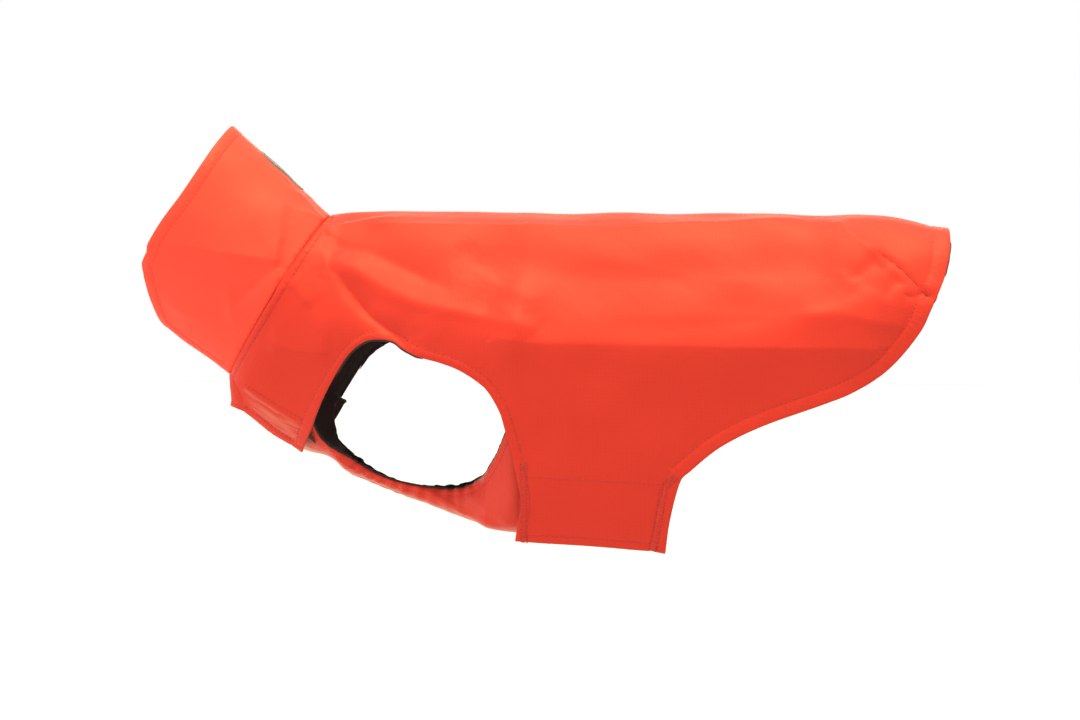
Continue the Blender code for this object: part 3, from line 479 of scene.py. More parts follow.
class Form:
    """Half of a hollow body, read at a ring number m and at a profile row number g."""

    def __init__(self, rings):
        grid = np.array([self.section(*ring[1:]) for ring in rings])
        self.from_spine = grid[0, 0, 1] == 0
        before = grid[:, 1:2] * (1, -1, 1) if self.from_spine else 2 * grid[:, :1] - grid[:, 1:2]
        grid = np.concatenate([before, grid, grid[:, -2:-1] * (1, -1, 1)], axis=1)
        self.rings, self.rows = len(rings) - 1, grid.shape[1] - 3
        self.grid = padded(grid)
        self.search_m, self.search_g = self.lattice(SEARCH_STEPS)
        self.search = self.point(self.search_m, self.search_g)
        self.make_pattern()

    def section(self, top_x, top_z, keel_x, keel_z, width, behind, profile):
        """Points of one ring from its top to its keel, swept back where it is wide."""
        length = math.hypot(keel_x - top_x, keel_z - top_z)
        rear_x, rear_z = -(keel_z - top_z) / length, (keel_x - top_x) / length
        return [
            (
                top_x + d * (keel_x - top_x) + behind * w * rear_x,
                -width * w,
                top_z + d * (keel_z - top_z) + behind * w * rear_z,
            )
            for d, w in (PROFILES[profile] if isinstance(profile, str) else profile)
        ]

    def lattice(self, steps):
        """Ring and row numbers of an even lattice, with so many steps to each."""
        m, g = (np.linspace(0, top, top * steps + 1) for top in (self.rings, self.rows))
        return np.meshgrid(m, g, indexing="ij")

    def point(self, m, g):
        """Point of the form's left half, in millimetres."""
        m = np.clip(np.asarray(m, float), 0, self.rings)
        g = np.clip(np.asarray(g, float), 0, self.rows)
        i = np.minimum(m.astype(int), self.rings - 1)
        j = np.minimum(g.astype(int), self.rows - 1)
        along, across = weights(m - i), weights(g - j)
        return sum(
            (along[p] * across[q])[..., None] * self.grid[i + p, j + q]
            for p in range(4) for q in range(4)
        )

    def normal(self, m, g):
        """Unit normal that points out of the body."""
        step = 0.01
        along = self.point(m + step, g) - self.point(m - step, g)
        across = self.point(m, g + step) - self.point(m, g - step)
        normal = np.cross(across, along)
        on_mirror = (np.asarray(g) <= 0) & self.from_spine | (np.asarray(g) >= self.rows)
        normal[..., 1] = np.where(on_mirror, 0, normal[..., 1])
        return normal / np.linalg.norm(normal, axis=-1, keepdims=True)

    def place(self, points):
        """Ring and row numbers of points given by x and z as seen from the left side."""
        points = np.asarray(points, float).reshape(-1, 2)
        starts = self.search[..., [0, 2]].reshape(-1, 2)
        found = [np.hypot(*(starts - point).T).argmin() for point in points]
        m, g = self.search_m.ravel()[found], self.search_g.ravel()[found]
        step = 0.002
        for _ in range(8):
            off = points - self.point(m, g)[:, [0, 2]]
            m_low, m_high = np.maximum(m - step, 0), np.minimum(m + step, self.rings)
            g_low, g_high = np.maximum(g - step, 0), np.minimum(g + step, self.rows)
            along = (self.point(m_high, g) - self.point(m_low, g)) / (m_high - m_low)[:, None]
            across = (self.point(m, g_high) - self.point(m, g_low)) / (g_high - g_low)[:, None]
            slopes = np.stack([along[:, [0, 2]], across[:, [0, 2]]], axis=2)
            turned = slopes.transpose(0, 2, 1)
            square = turned @ slopes + 1e-3 * np.eye(2)
            move = np.linalg.solve(square, turned @ off[:, :, None])[:, :, 0].clip(-0.2, 0.2)
            m = np.clip(m + move[:, 0], 0, self.rings)
            g = np.clip(g + move[:, 1], 0, self.rows)
        return np.stack([m, g], axis=1)

    def make_pattern(self):
        """Flat copy of the form: length along the body, and girth from the mirror line."""
        m, g = self.lattice(PATTERN_STEPS)
        points = self.point(m, g)
        self.girth = np.array([lengths(ring) for ring in points])
        if not self.from_spine:
            self.girth -= self.girth[:, -1:]
        self.along = lengths(points[:, len(g[0]) // 2])
        self.ring_numbers, self.row_numbers = m[:, 0], g[0]

    def ring_below(self, m):
        """The pattern's ring below each ring number, and the share of the way to the next one."""
        i = np.clip(np.searchsorted(self.ring_numbers, m) - 1, 0, len(self.ring_numbers) - 2)
        return i, (m - self.ring_numbers[i]) / (self.ring_numbers[i + 1] - self.ring_numbers[i])

    def flat(self, numbers):
        """Flat points at ring and row numbers."""
        m, g = np.asarray(numbers, float).T
        i, share = self.ring_below(m)
        column = g * PATTERN_STEPS
        j = np.clip(column.astype(int), 0, len(self.row_numbers) - 2)
        part = column - j
        low = self.girth[i, j] * (1 - part) + self.girth[i, j + 1] * part
        high = self.girth[i + 1, j] * (1 - part) + self.girth[i + 1, j + 1] * part
        along = np.interp(m, self.ring_numbers, self.along)
        return np.stack([along, low * (1 - share) + high * share], axis=1)

    def numbers(self, flat):
        """Ring and row numbers of flat points."""
        m = np.interp(flat[:, 0], self.along, self.ring_numbers)
        g = np.empty(len(m))
        for n, (ring, part, y) in enumerate(zip(*self.ring_below(m), flat[:, 1])):
            girth = self.girth[ring] * (1 - part) + self.girth[ring + 1] * part
            g[n] = np.interp(y, girth, self.row_numbers)
        return np.stack([m, g], axis=1)


FORMS = {
    "collar": Form(COLLAR_RINGS),
    "coat": Form(COAT_RINGS),
    "chest": Form(wing_rings() + CHEST_RINGS),
}


def edge(form, points, step=EDGE_STEP):
    """A side-view edge as ring and row numbers, evenly spaced on the form."""
    dense = form.place(curve(points, PATH_STEP))
    return respaced(dense, form.point(*dense.T), step)


def straight(form, start, end, step=EDGE_STEP):
    """Path between two ring and row numbers, straight in those numbers."""
    share = np.linspace(0, 1, 60)[:, None]
    dense = np.array(start) * (1 - share) + np.array(end) * share
    return respaced(dense, form.point(*dense.T), step)


# ---- Cutting cloth ----


def tree_of(points):
    tree = KDTree(len(points))
    for n, (x, y) in enumerate(points):
        tree.insert((x, y, 0), n)
    tree.balance()
    return tree


def nearest(tree, points):
    """Number of the nearest of a tree's points, and its distance."""
    found = [tree.find((x, y, 0)) for x, y in points]
    return np.array([f[1] for f in found], int), np.array([f[2] for f in found])


def inside(points, outline):
    """Which flat points lie inside a closed flat outline."""
    x0, y0 = outline.T
    x1, y1 = np.roll(outline, -1, axis=0).T
    rise = np.where(y1 == y0, 1, y1 - y0)
    found = []
    for x, y in points:
        crosses = ((y0 > y) != (y1 > y)) & (x < x0 + (y - y0) * (x1 - x0) / rise)
        found.append(crosses.sum() % 2 == 1)
    return np.array(found, bool)


class Panel:
    """One piece's cut: named stretches of edge on a form, and how wide each is hemmed."""

    def __init__(self, form_name, stretches, hems, open_seam=""):
        self.form_name, self.form = form_name, FORMS[form_name]
        self.stretches, self.hems, self.open_seam = stretches, hems, open_seam
        self.outline = np.concatenate([numbers[:-1] for numbers in stretches.values()])
        self.border = self.form.flat(self.outline)
        x, y = self.border.T
        twice = (x * np.roll(y, -1) - np.roll(x, -1) * y).sum()
        self.turn, self.area = np.sign(twice), abs(twice) / 2
        closed = np.concatenate([self.border, self.border[:1]])
        self.border_tree = tree_of(respaced(closed, closed, LINE_STEP))
        self.lines = {name: self.line(name, LINE_STEP) for name in hems}
        self.trees = {name: tree_of(line) for name, line in self.lines.items()}

    def line(self, name, step):
        """Flat points a step apart along a stretch."""
        flat = self.form.flat(self.stretches[name])
        return respaced(flat, flat, step)

    def parallel(self, name, distance, step):
        """Flat points a step apart along a stretch, at a distance inside it."""
        line = self.line(name, step)
        spots = line + self.turn * distance * square_to(line)
        spots = spots[inside(spots, self.border)]
        return spots[nearest(self.border_tree, spots)[1] > 0.96 * distance] if len(spots) else spots

    def hem_lift(self, flat, side):
        """Height that hems, topstitching and the neck seam give the cloth."""
        lift, rise = np.zeros(len(flat)), np.zeros(len(flat))
        off_spine = np.abs(flat[:, 1])
        for k, (name, width) in enumerate(self.hems.items()):
            n, distance = nearest(self.trees[name], flat)
            wave = wander(n * LINE_STEP + RIGHT_WAVE * (side > 0), PUCKER_PITCH, k + 1)
            height = PUCKER_HEIGHTS.get(name, PUCKER_HEIGHT)
            step = smooth((width + HEM_STEP - distance) / (2 * HEM_STEP))
            rise = np.maximum(rise, HEM_RISE * step)
            lift += HEM_FLARE.get(name, 0) * np.clip(1 - distance / width, 0, 1)
            if name == self.open_seam:
                least, more, reach = SEAM_PUCKERS
                height = least + more * np.exp(-off_spine / reach)
                fade = smooth((np.abs(self.lines[name][:, 1]).max() - off_spine) / THROAT_FADE)
                lift -= SEAM_DIP * fade * np.exp(-distance / SEAM_WIDTH)
            lift += height * wave * np.exp(-np.abs(distance - 0.6 * width) / PUCKER_REACH)
            lift -= STITCH_DIP * np.exp(-(((distance - width) / STITCH_WIDTH) ** 2))
        border = nearest(self.border_tree, flat)[1]
        return lift + rise - BORDER_ROUNDING * np.exp(-((border / BORDER_WIDTH) ** 2)) * (rise > 0)

    def crimp(self, flat):
        """How strongly topstitching puckers the cloth at each left-side point, from 0 to 1."""
        total = np.zeros(len(flat))
        for name, width in self.hems.items():
            distance = nearest(self.trees[name], flat)[1]
            strength = PLAIN_CRIMP
            if name == self.open_seam:
                strength = strength + (1 - strength) * np.exp(-np.abs(flat[:, 1]) / CRIMP_REACH)
            near = np.exp(-(((distance - 0.75 * width) / (0.45 * width)) ** 2))
            total = np.maximum(total, strength * near)
        return total

    def cut(self, step, lines=()):
        """Ring and row numbers of a fine mesh's points, and its triangles."""
        kept = [self.border]
        groups = [(line, 0.5 * EDGE_STEP) for line in lines]
        for name, width in self.hems.items():
            beside_stitches = [width + offset for offset in BESIDE_STITCHES]
            for distance in (*BESIDE_EDGE, 0.5 * width, *beside_stitches):
                room = 0.42 * min(EDGE_STEP, 2 * distance)
                groups.append((self.parallel(name, distance, EDGE_STEP), room))
        low, high = self.border.min(axis=0), self.border.max(axis=0)
        lattice = []
        for r, y in enumerate(np.arange(low[1], high[1], step * math.sqrt(3) / 2)):
            x = np.arange(low[0] + (r % 2) * step / 2, high[0], step)
            lattice.append(np.stack([x, np.full(len(x), y)], axis=1))
        groups.append((np.concatenate(lattice), 0.62 * step))
        for spots, room in groups:
            spots = spots[inside(spots, self.border)]
            if len(spots):
                kept.append(spots[nearest(tree_of(np.concatenate(kept)), spots)[1] > room])
        flat = np.concatenate(kept)
        count = len(self.border)
        edges = [(i, (i + 1) % count) for i in range(count)]
        result = delaunay_2d_cdt([Vector(p) for p in flat], edges, [], 0, 1e-5, True)
        corners = np.array([tuple(p) for p in result[0]])
        faces = np.array(result[2])
        faces = faces[inside(corners[faces].mean(axis=1), self.border)]
        source = np.array([s[0] if s else -1 for s in result[3]])
        faces = source[faces]
        numbers = np.concatenate([self.outline, self.form.numbers(flat[count:])])
        return numbers, faces[(faces >= 0).all(axis=1)]


class Cloth:
    """The points of a panel's cloth on both sides of the mirror line, folded and hemmed."""

    def __init__(self, panel, lines, inset=None):
        self.panel, self.inset = panel, inset
        numbers, faces = panel.cut(CLOTH_STEP, lines)
        flat = panel.form.flat(numbers)
        off_line = np.abs(panel.form.point(*numbers.T)[:, 1]) >= 1e-6
        twin = np.arange(len(numbers))
        twin[off_line] = len(numbers) + np.arange(off_line.sum())
        self.numbers = np.concatenate([numbers, numbers[off_line]])
        self.sides = np.repeat((-1, 1), (len(numbers), off_line.sum()))
        self.flat = np.concatenate([flat, flat[off_line] * (1, -1)])
        self.points = self.place(self.numbers, self.sides)
        faces = np.concatenate([faces, twin[faces][:, ::-1]])
        self.faces = outward(panel.form, self.numbers, self.points, faces)

    def place(self, numbers, sides):
        """Points of the cloth's outer face at ring and row numbers on each side."""
        form, name = self.panel.form, self.panel.form_name
        points, normals = form.point(*numbers.T), form.normal(*numbers.T)
        for values in (points, normals):
            values[:, 1] *= -sides
        lift = fold_lift(name, points)
        lift += unevenness(points, *BROAD, seed=11) + unevenness(points, *FINE, seed=12)
        flat = form.flat(numbers)
        for side in (-1, 1):
            chosen = sides == side
            if chosen.any():
                lift[chosen] += self.panel.hem_lift(flat[chosen], side)
        if name == "chest":
            lift += gather_lift(form, points)
        if self.inset is not None:
            lift -= self.inset(numbers)
        return points + normals * lift[:, None] + sway(name, points)


def face_normals(points, faces):
    a, b, c = points[faces].transpose(1, 0, 2)
    return np.cross(b - a, c - a)


def outward(form, numbers, points, faces):
    """Triangles turned so that they face out."""
    first = faces[:, 0]
    wanted = form.normal(*numbers[first].T)
    wanted[:, 1] *= np.where(points[first, 1] > 0, -1, 1)
    return faces[:, ::-1] if (face_normals(points, faces) * wanted).sum() < 0 else faces


def layer(points, faces, depth):
    """The same cut moved inward by a depth, square to its folded face."""
    normals = face_normals(points, faces)
    total = np.zeros_like(points)
    for k in range(3):
        np.add.at(total, faces[:, k], normals)
    return points - total / np.maximum(np.linalg.norm(total, axis=1, keepdims=True), 1e-12) * depth


# ---- Folds ----


def close_to(line, points, room):
    """Numbers of the points in the box round a line, with room on every side."""
    near = (points > line.min(axis=0) - room) & (points < line.max(axis=0) + room)
    return np.flatnonzero(near.all(axis=1))


def nearest_on(line, points):
    """Number of the line's point nearest to each point, and its distance."""
    found, distance = [], []
    for chunk in np.array_split(points, 1 + len(points) // POINTS_AT_ONCE):
        gaps = np.linalg.norm(chunk[:, None] - line[None], axis=2)
        found.append(gaps.argmin(axis=1))
        distance.append(gaps.min(axis=1))
    return np.concatenate(found), np.concatenate(distance)


@functools.cache
def fold_path(row, side):
    """A fold's path on one side, its headings in the side view and its length so far."""
    name, form_name, path = row[:3]
    form = FORMS[form_name]
    path = np.array(path, float)
    if side > 0 and name not in MATCHED:
        seed = sum(map(ord, name))
        path += RIGHT_SHIFT * np.array([math.sin(seed), 0.5 * math.cos(seed)])
    line = form.point(*form.place(curve(path, 2.0)).T)
    line[:, 1] *= -side
    return line, np.gradient(line[:, [0, 2]], axis=0), lengths(line)


def fold_lift(form_name, points):
    """Height of the cloth above its form at each point, from the folds on that form."""
    lift = np.zeros(len(points))
    for row, side in itertools.product(FOLDS, (-1, 1)):
        _, where, _, height, left, right, round_off, fade_in, fade_out = row
        if where == form_name:
            line, heading, length = fold_path(row, side)
            chosen = close_to(line, points, 5 * max(left, right))
            n, distance = nearest_on(line, points[chosen])
            away = (points[chosen] - line[n])[:, [0, 2]]
            turn = heading[n, 0] * away[:, 1] - heading[n, 1] * away[:, 0]
            reach = np.where(turn > 0, left, right)
            d = np.sqrt(distance**2 + round_off**2) - round_off
            fade = smooth(length[n] / fade_in) * smooth((length[-1] - length[n]) / fade_out)
            lift[chosen] += height * fade * np.exp(-d / reach)
    return lift


def sway(form_name, points):
    """Moves of the right side's hanging edges, since no two sides of a garment hang alike."""
    moves = np.zeros_like(points)
    for row in SWAYS:
        _, where, _, move, reach, fade_in, fade_out = row
        if where == form_name:
            line, _, length = fold_path(row, 1)
            chosen = close_to(line, points, 4 * reach)
            chosen = chosen[points[chosen, 1] > 0]
            n, distance = nearest_on(line, points[chosen])
            share = smooth((length[n] + 1) / fade_in) * smooth((length[-1] - length[n]) / fade_out)
            moves[chosen] += (share * np.exp(-distance / reach))[:, None] * np.array(move)
    return moves


def gather_lift(form, points):
    """Waves that run in from the elastic leg edges of the chest panel."""
    total = np.zeros(len(points))
    line = form.point(*edge(form, CHEST_LEG_EDGE[GATHERED], 1.0).T)
    for side in (-1, 1):
        chosen = np.flatnonzero(points[:, 1] * side >= 0)
        n, distance = nearest_on(line * (1, -side, 1), points[chosen])
        share = n / (len(line) - 1)
        window = np.sin(math.pi * share) ** 0.4
        uneven_pitch = 0.015 * np.sin(11 * share + side)
        uneven_height = 1 + 0.35 * np.sin(23 * share + 2 * side)
        wave = np.sin(2 * math.pi * GATHERS * (share + uneven_pitch)) * uneven_height
        total[chosen] += GATHER_HEIGHT * window * wave * np.exp(-distance / GATHER_REACH)
    return total


# ---- Materials ----


def rgb(red, green, blue):
    return (red, green, blue, 1.0)


class Nodes:
    """Short calls that add and link nodes of one material."""

    def __init__(self, name):
        self.material = bpy.data.materials.new(name)
        self.material.use_nodes = True
        self.tree = self.material.node_tree
        self.shader = self.tree.nodes["Principled BSDF"]
        self.coordinates = self.add("ShaderNodeUVMap")
        self.coordinates.uv_map = "cloth"

    def add(self, kind, **inputs):
        return self.set(self.tree.nodes.new(kind), **inputs)

    def set(self, node, **inputs):
        """Sets or links a node's inputs, each named, or numbered after an n."""
        for name, value in inputs.items():
            socket = node.inputs[int(name[1:]) if name[1:].isdigit() else name.replace("_", " ")]
            if isinstance(value, bpy.types.NodeSocket):
                self.tree.links.new(value, socket)
            else:
                socket.default_value = value
        return node

    def math(self, operation, a, b):
        node = self.add("ShaderNodeMath", n0=a, n1=b)
        node.operation = operation
        return node.outputs[0]

    def mix(self, factor, a, b):
        node = self.tree.nodes.new("ShaderNodeMix")
        node.data_type = "RGBA"
        return self.set(node, n0=factor, n6=a, n7=b).outputs[2]

    def scaled(self, x, y):
        """Cloth coordinates in metres, multiplied."""
        return self.add("ShaderNodeMapping", Scale=(x, y, 1), Vector=self.coordinates.outputs[0]).outputs[0]

    def noise(self, size_mm, detail=2.0, x=1.0, y=1.0):
        vector = self.scaled(x * 1000 / size_mm, y * 1000 / size_mm)
        return self.add("ShaderNodeTexNoise", Vector=vector, Scale=1.0, Detail=detail).outputs[0]

    def grid(self, pitch_mm, line_share):
        """Mask of the thicker threads that cross the cloth in a fine grid."""
        brick = self.add(
            "ShaderNodeTexBrick", Vector=self.scaled(1, 1), Scale=1000 / pitch_mm,
            Mortar_Size=line_share, Mortar_Smooth=0.6, Brick_Width=1.0, Row_Height=1.0,
        )
        brick.offset = 0.0
        return brick.outputs["Fac"]

    def attribute(self, name):
        node = self.add("ShaderNodeAttribute")
        node.attribute_name = name
        return node.outputs["Fac"]

    def streaks(self, along, across):
        """Long crinkles that run along a tape, from two attributes in millimetres; the same mask paints their
        pale highlights.
        """
        joint = self.add(
            "ShaderNodeCombineXYZ",
            X=self.math("MULTIPLY", self.attribute(along), 1 / STREAK_LENGTH),
            Y=self.math("MULTIPLY", self.attribute(across), 1 / STREAK_WIDTH),
        )
        noise = self.add("ShaderNodeTexNoise", Vector=joint.outputs[0], Scale=1.0, Detail=3.0)
        sharp = self.math("MULTIPLY", self.math("SUBTRACT", noise.outputs[0], 0.40), 4.5)
        faintest, strongest = STREAK_RANGE
        return self.math("MINIMUM", self.math("MAXIMUM", sharp, faintest), strongest)

    def bump(self, height, distance_mm, strength=1.0, **below):
        return self.add(
            "ShaderNodeBump", Height=height, Distance=distance_mm * MM, Strength=strength, **below
        ).outputs[0]

    def finish(self, **inputs):
        self.set(self.shader, **inputs)
        return self.material


def orange_cloth(name, depth, gloss=0.12, crumple=0.12, rough=0.5):
    """Coated ripstop rain cloth with a soft sheen, paler in streaks of painted highlight where tape is sewn
    behind it.
    """
    nodes = Nodes(name)
    grid = nodes.grid(RIPSTOP_PITCH, 0.07)
    # depth scales the dye: 1 for lined cloth; higher on the collar, as painted light shining through the
    # unlined cloth
    dark, light, thread = (rgb(*(depth * shade * c for c in DYE)) for shade in (0.97, 1.03, 0.86))
    colour = nodes.mix(nodes.noise(60), dark, light)
    colour = nodes.mix(nodes.math("MULTIPLY", grid, 0.35), colour, thread)
    # Where pale streaks of painted highlight go, and where the cloth is a little glossier
    gloss_and_painted_sheen = nodes.attribute("gloss_and_painted_sheen")
    pale = nodes.math("MULTIPLY", gloss_and_painted_sheen, nodes.streaks("streak_along", "streak_across"))
    # Painted highlight: the streaks mix the cloth toward a pale colour
    colour = nodes.mix(pale, colour, rgb(*PAINTED_STREAK_COLOUR))
    relief = nodes.bump(nodes.noise(9), crumple)
    relief = nodes.bump(grid, 0.04, 0.6, Normal=relief)
    pucker = nodes.math("MULTIPLY", nodes.noise(3.6), nodes.attribute("pucker"))
    relief = nodes.bump(pucker, 1.3, Normal=relief)
    relief = nodes.bump(pale, 0.35, 0.8, Normal=relief)
    return nodes.finish(
        Base_Color=colour, Normal=relief, Specular_IOR_Level=gloss,
        Roughness=nodes.math("SUBTRACT", rough, nodes.math("MULTIPLY", gloss_and_painted_sheen, 0.16)),
        Specular_Tint=rgb(1.0, 0.72, 0.55),
        Sheen_Weight=0.30, Sheen_Roughness=0.28, Sheen_Tint=rgb(1.0, 0.60, 0.32),
    )


def lining_cloth():
    """Charcoal mesh lining with a little of the orange cloth showing through it."""
    nodes = Nodes("charcoal lining")
    mesh = nodes.grid(1.6, 0.22)
    ground = nodes.mix(nodes.noise(22), rgb(0.010, 0.009, 0.009), rgb(0.046, 0.010, 0.010))
    colour = nodes.mix(mesh, ground, rgb(0.018, 0.017, 0.018))
    relief = nodes.bump(mesh, 0.12, 0.8, Normal=nodes.bump(nodes.noise(6, 3), 0.3))
    return nodes.finish(
        Base_Color=colour, Roughness=0.75, Normal=relief, Specular_IOR_Level=0.3, Sheen_Weight=0.1,
    )


def tape_cloth():
    """Black hook-and-loop tape."""
    nodes = Nodes("black fastener tape")
    fuzz = nodes.noise(0.9, 3)
    colour = nodes.mix(fuzz, rgb(0.008, 0.008, 0.009), rgb(0.030, 0.030, 0.032))
    relief = nodes.bump(fuzz, 0.4, Normal=nodes.bump(nodes.grid(1.2, 0.3), 0.2))
    return nodes.finish(Base_Color=colour, Roughness=0.85, Normal=relief, Sheen_Weight=0.15)


def binding_cloth():
    """Grey retroreflective binding with its fine ribs."""
    nodes = Nodes("grey reflective binding")
    ribs = nodes.noise(0.8, 2, 4.0, 0.4)
    colour = nodes.mix(ribs, rgb(0.085, 0.10, 0.09), rgb(0.14, 0.16, 0.145))
    return nodes.finish(
        Base_Color=colour, Roughness=0.35, Normal=nodes.bump(ribs, 0.15), Specular_IOR_Level=0.7,
    )


def thread_finish(name, dark, light):
    nodes = Nodes(name)
    twist = nodes.noise(0.7)
    colour = nodes.mix(twist, rgb(*dark), rgb(*light))
    return nodes.finish(Base_Color=colour, Roughness=0.6, Normal=nodes.bump(twist, 0.1))


# ---- Pieces ----


def piece(name, points, faces, flat, finish, replaced=(), thickness=0.0, attributes=None):
    """A mesh piece in metres, with cloth coordinates, that rides on the part's one body."""
    mesh = bpy.data.meshes.new(name)
    mesh.from_pydata((points * MM).tolist(), [], faces.tolist())
    mesh.update()
    uv = mesh.uv_layers.new(name="cloth")
    corners = np.array([loop.vertex_index for loop in mesh.loops])
    uv.data.foreach_set("uv", (flat[corners] * MM).ravel())
    for key, values in (attributes or {}).items():
        mesh.attributes.new(key, "FLOAT", "POINT").data.foreach_set("value", values.astype(np.float32))
    mesh.materials.append(finish)
    mesh.shade_smooth()
    made = bpy.data.objects.new(name, mesh)
    bpy.context.scene.collection.objects.link(made)
    if thickness:
        wall = made.modifiers.new("cloth", "SOLIDIFY")
        wall.thickness = thickness * MM
        wall.offset = -1
        wall.use_even_offset = False
    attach(made, "root")
    if replaced:
        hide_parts(*replaced)
    return made


def joined(name, parts, finish):
    """One piece from several swept parts."""
    points, faces, flat = zip(*parts)
    starts = np.cumsum([0, *map(len, points[:-1])])
    faces = np.concatenate([part + start for part, start in zip(faces, starts)])
    return piece(name, np.concatenate(points), faces, np.concatenate(flat), finish)


def sewing(name, parts, finish):
    return joined(name, parts, finish)


def orange_piece(name, cloth, finish, node, thickness, **attributes):
    """An orange cloth, with a mark of how strongly its hems pucker."""
    attributes["pucker"] = cloth.panel.crimp(left_flat(cloth))
    return piece(
        name, cloth.points, cloth.faces, cloth.flat, finish, (node,), thickness,
        attributes,
    )


def lining_piece(name, cloth, node):
    return piece(
        name, layer(cloth.points, cloth.faces, LINING_DEPTH), cloth.faces, cloth.flat, charcoal,
        (node,), LINING,
    )


def sweep(path, ups, profile, closed=False, sizes=1.0):
    """A profile drawn along a path: its points, triangles and cloth coordinates."""
    count, sides = len(path), len(profile)
    if closed:
        along = np.roll(path, -1, axis=0) - np.roll(path, 1, axis=0)
    else:
        along = np.gradient(path, axis=0)
    along /= np.linalg.norm(along, axis=1, keepdims=True)
    across = np.cross(along, ups)
    across /= np.linalg.norm(across, axis=1, keepdims=True)
    up = np.cross(across, along)
    shape = across[:, None] * profile[None, :, :1] + up[:, None] * profile[None, :, 1:]
    size = np.broadcast_to(sizes, count)[:, None, None]
    points = (path[:, None] + size * shape).reshape(-1, 3)
    k, n = np.indices((count if closed else count - 1, sides)).reshape(2, -1)
    a, b = k * sides + n, k * sides + (n + 1) % sides
    c, d = (b + sides) % len(points), (a + sides) % len(points)
    faces = [np.stack([a, b, c], axis=1), np.stack([a, c, d], axis=1)]
    if not closed:
        fan = np.stack([np.zeros(sides - 2, int), np.arange(2, sides), np.arange(1, sides - 1)], axis=1)
        faces += [fan, fan[:, ::-1] + (count - 1) * sides]
    faces = np.concatenate(faces)
    corners = points[faces]
    if np.einsum("ij,ij->i", corners[:, 0], np.cross(corners[:, 1], corners[:, 2])).sum() < 0:
        faces = faces[:, ::-1]
    girth = np.arange(sides) * np.linalg.norm(profile[1] - profile[0])
    return points, faces, np.stack([np.repeat(lengths(path), sides), np.tile(girth, count)], axis=1)


def circle(radius, sides):
    turn = 2 * math.pi * np.arange(sides) / sides
    return radius * np.stack([np.cos(turn), np.sin(turn)], axis=1)


def on_cloth(cloth, flat, side, height=0.0):
    """Points over a cloth's outer face at flat spots, and the form's normals there."""
    numbers = cloth.panel.form.numbers(flat)
    points = cloth.place(numbers, np.full(len(numbers), side))
    normals = cloth.panel.form.normal(*numbers.T)
    normals[:, 1] *= -side
    return points + normals * height, normals


def both_sides(cloth, flat, height=0.0):
    return [on_cloth(cloth, flat, side, height) for side in (-1, 1)]


def stitches(runs, length=STITCH, gap=STITCH_GAP, radius=THREAD):
    """Topstitching: a short raised thread for each stitch along each run of points and normals."""
    parts = []
    for path, normals in runs:
        travelled = lengths(path)
        for start in np.arange(0, travelled[-1] - length, length + gap):
            share, height, size = np.array(STITCH_SHAPE).T
            at = start + length * share
            ups = read_at(at, travelled, normals)
            centre = read_at(at, travelled, path) + ups * height[:, None]
            parts.append(sweep(centre, ups, circle(radius, 5), sizes=size))
    return parts


def hem_runs(cloth):
    """Topstitch runs inside the hemmed edges on both sides, each of which stops at the next hem."""
    runs = []
    panel = cloth.panel
    for name in panel.hems:
        spots = panel.parallel(name, panel.hems[name], STITCH_STEP)
        for other, width in panel.hems.items():
            if other != name and len(spots):
                spots = spots[nearest(panel.trees[other], spots)[1] > width - 0.6]
        if len(spots) > 3:
            runs += both_sides(cloth, spots)
    return runs


def line_runs(cloth, points):
    """The same side-view line of stitches on both sides."""
    form = cloth.panel.form
    return both_sides(cloth, form.flat(edge(form, points, STITCH_STEP)))


def closed_seam(cloth, numbers, radius, height):
    """The thin dark line where two cloths are sewn edge to edge, on both sides."""
    flat = cloth.panel.form.flat(numbers)
    runs = both_sides(cloth, respaced(flat, flat, 1.5), height)
    return [sweep(path, normals, circle(radius, 6)) for path, normals in runs]


def zigzag(cloth, start, end, width, pitch):
    """A bar of close zigzag stitches between two side-view points, on both sides."""
    form = cloth.panel.form
    first, last = form.flat(form.place((start, end)))
    length = np.linalg.norm(last - first)
    along = (last - first) / length
    across = np.array([-along[1], along[0]])
    turns = np.arange(0, length, pitch / 2)
    swing = np.where(np.arange(len(turns)) % 2, 0.5, -0.5) * width
    corners = first + turns[:, None] * along + swing[:, None] * across
    at = np.linspace(0, len(corners) - 1, 4 * (len(corners) - 1) + 1)
    runs = both_sides(cloth, read_at(at, np.arange(len(corners)), corners), 0.06)
    bars = [sweep(path, normals, circle(ZIGZAG_THREAD, 5)) for path, normals in runs]
    middle = first + np.outer(np.linspace(0, length, round(length)), along)
    rows = [middle + swing * across for swing in (-0.5 * width, 0.5 * width)]
    dots = [on_cloth(cloth, row, side) for side in (-1, 1) for row in rows]
    return bars, stitches(dots, *ZIGZAG_DOTS)


def rolled_edge(cloth, name, part, out, depth, radius):
    """Lining that rolls out a little past part of a cloth's edge, on both sides."""
    line = cloth.panel.line(name, 1.5)
    line = line - cloth.panel.turn * out * square_to(line)
    first, last = (int(share * (len(line) - 1)) for share in part)
    line = line[first:last + 1]
    share = np.linspace(0, 1, len(line))
    sizes = 0.25 + 0.75 * smooth(share / 0.08) * smooth((1 - share) / 0.08)
    sizes *= 1 + 0.18 * wander(share * len(line) * 1.5, 17, 2)
    runs = both_sides(cloth, line, -depth)
    return [sweep(path, normals, circle(radius, 8), sizes=sizes) for path, normals in runs]


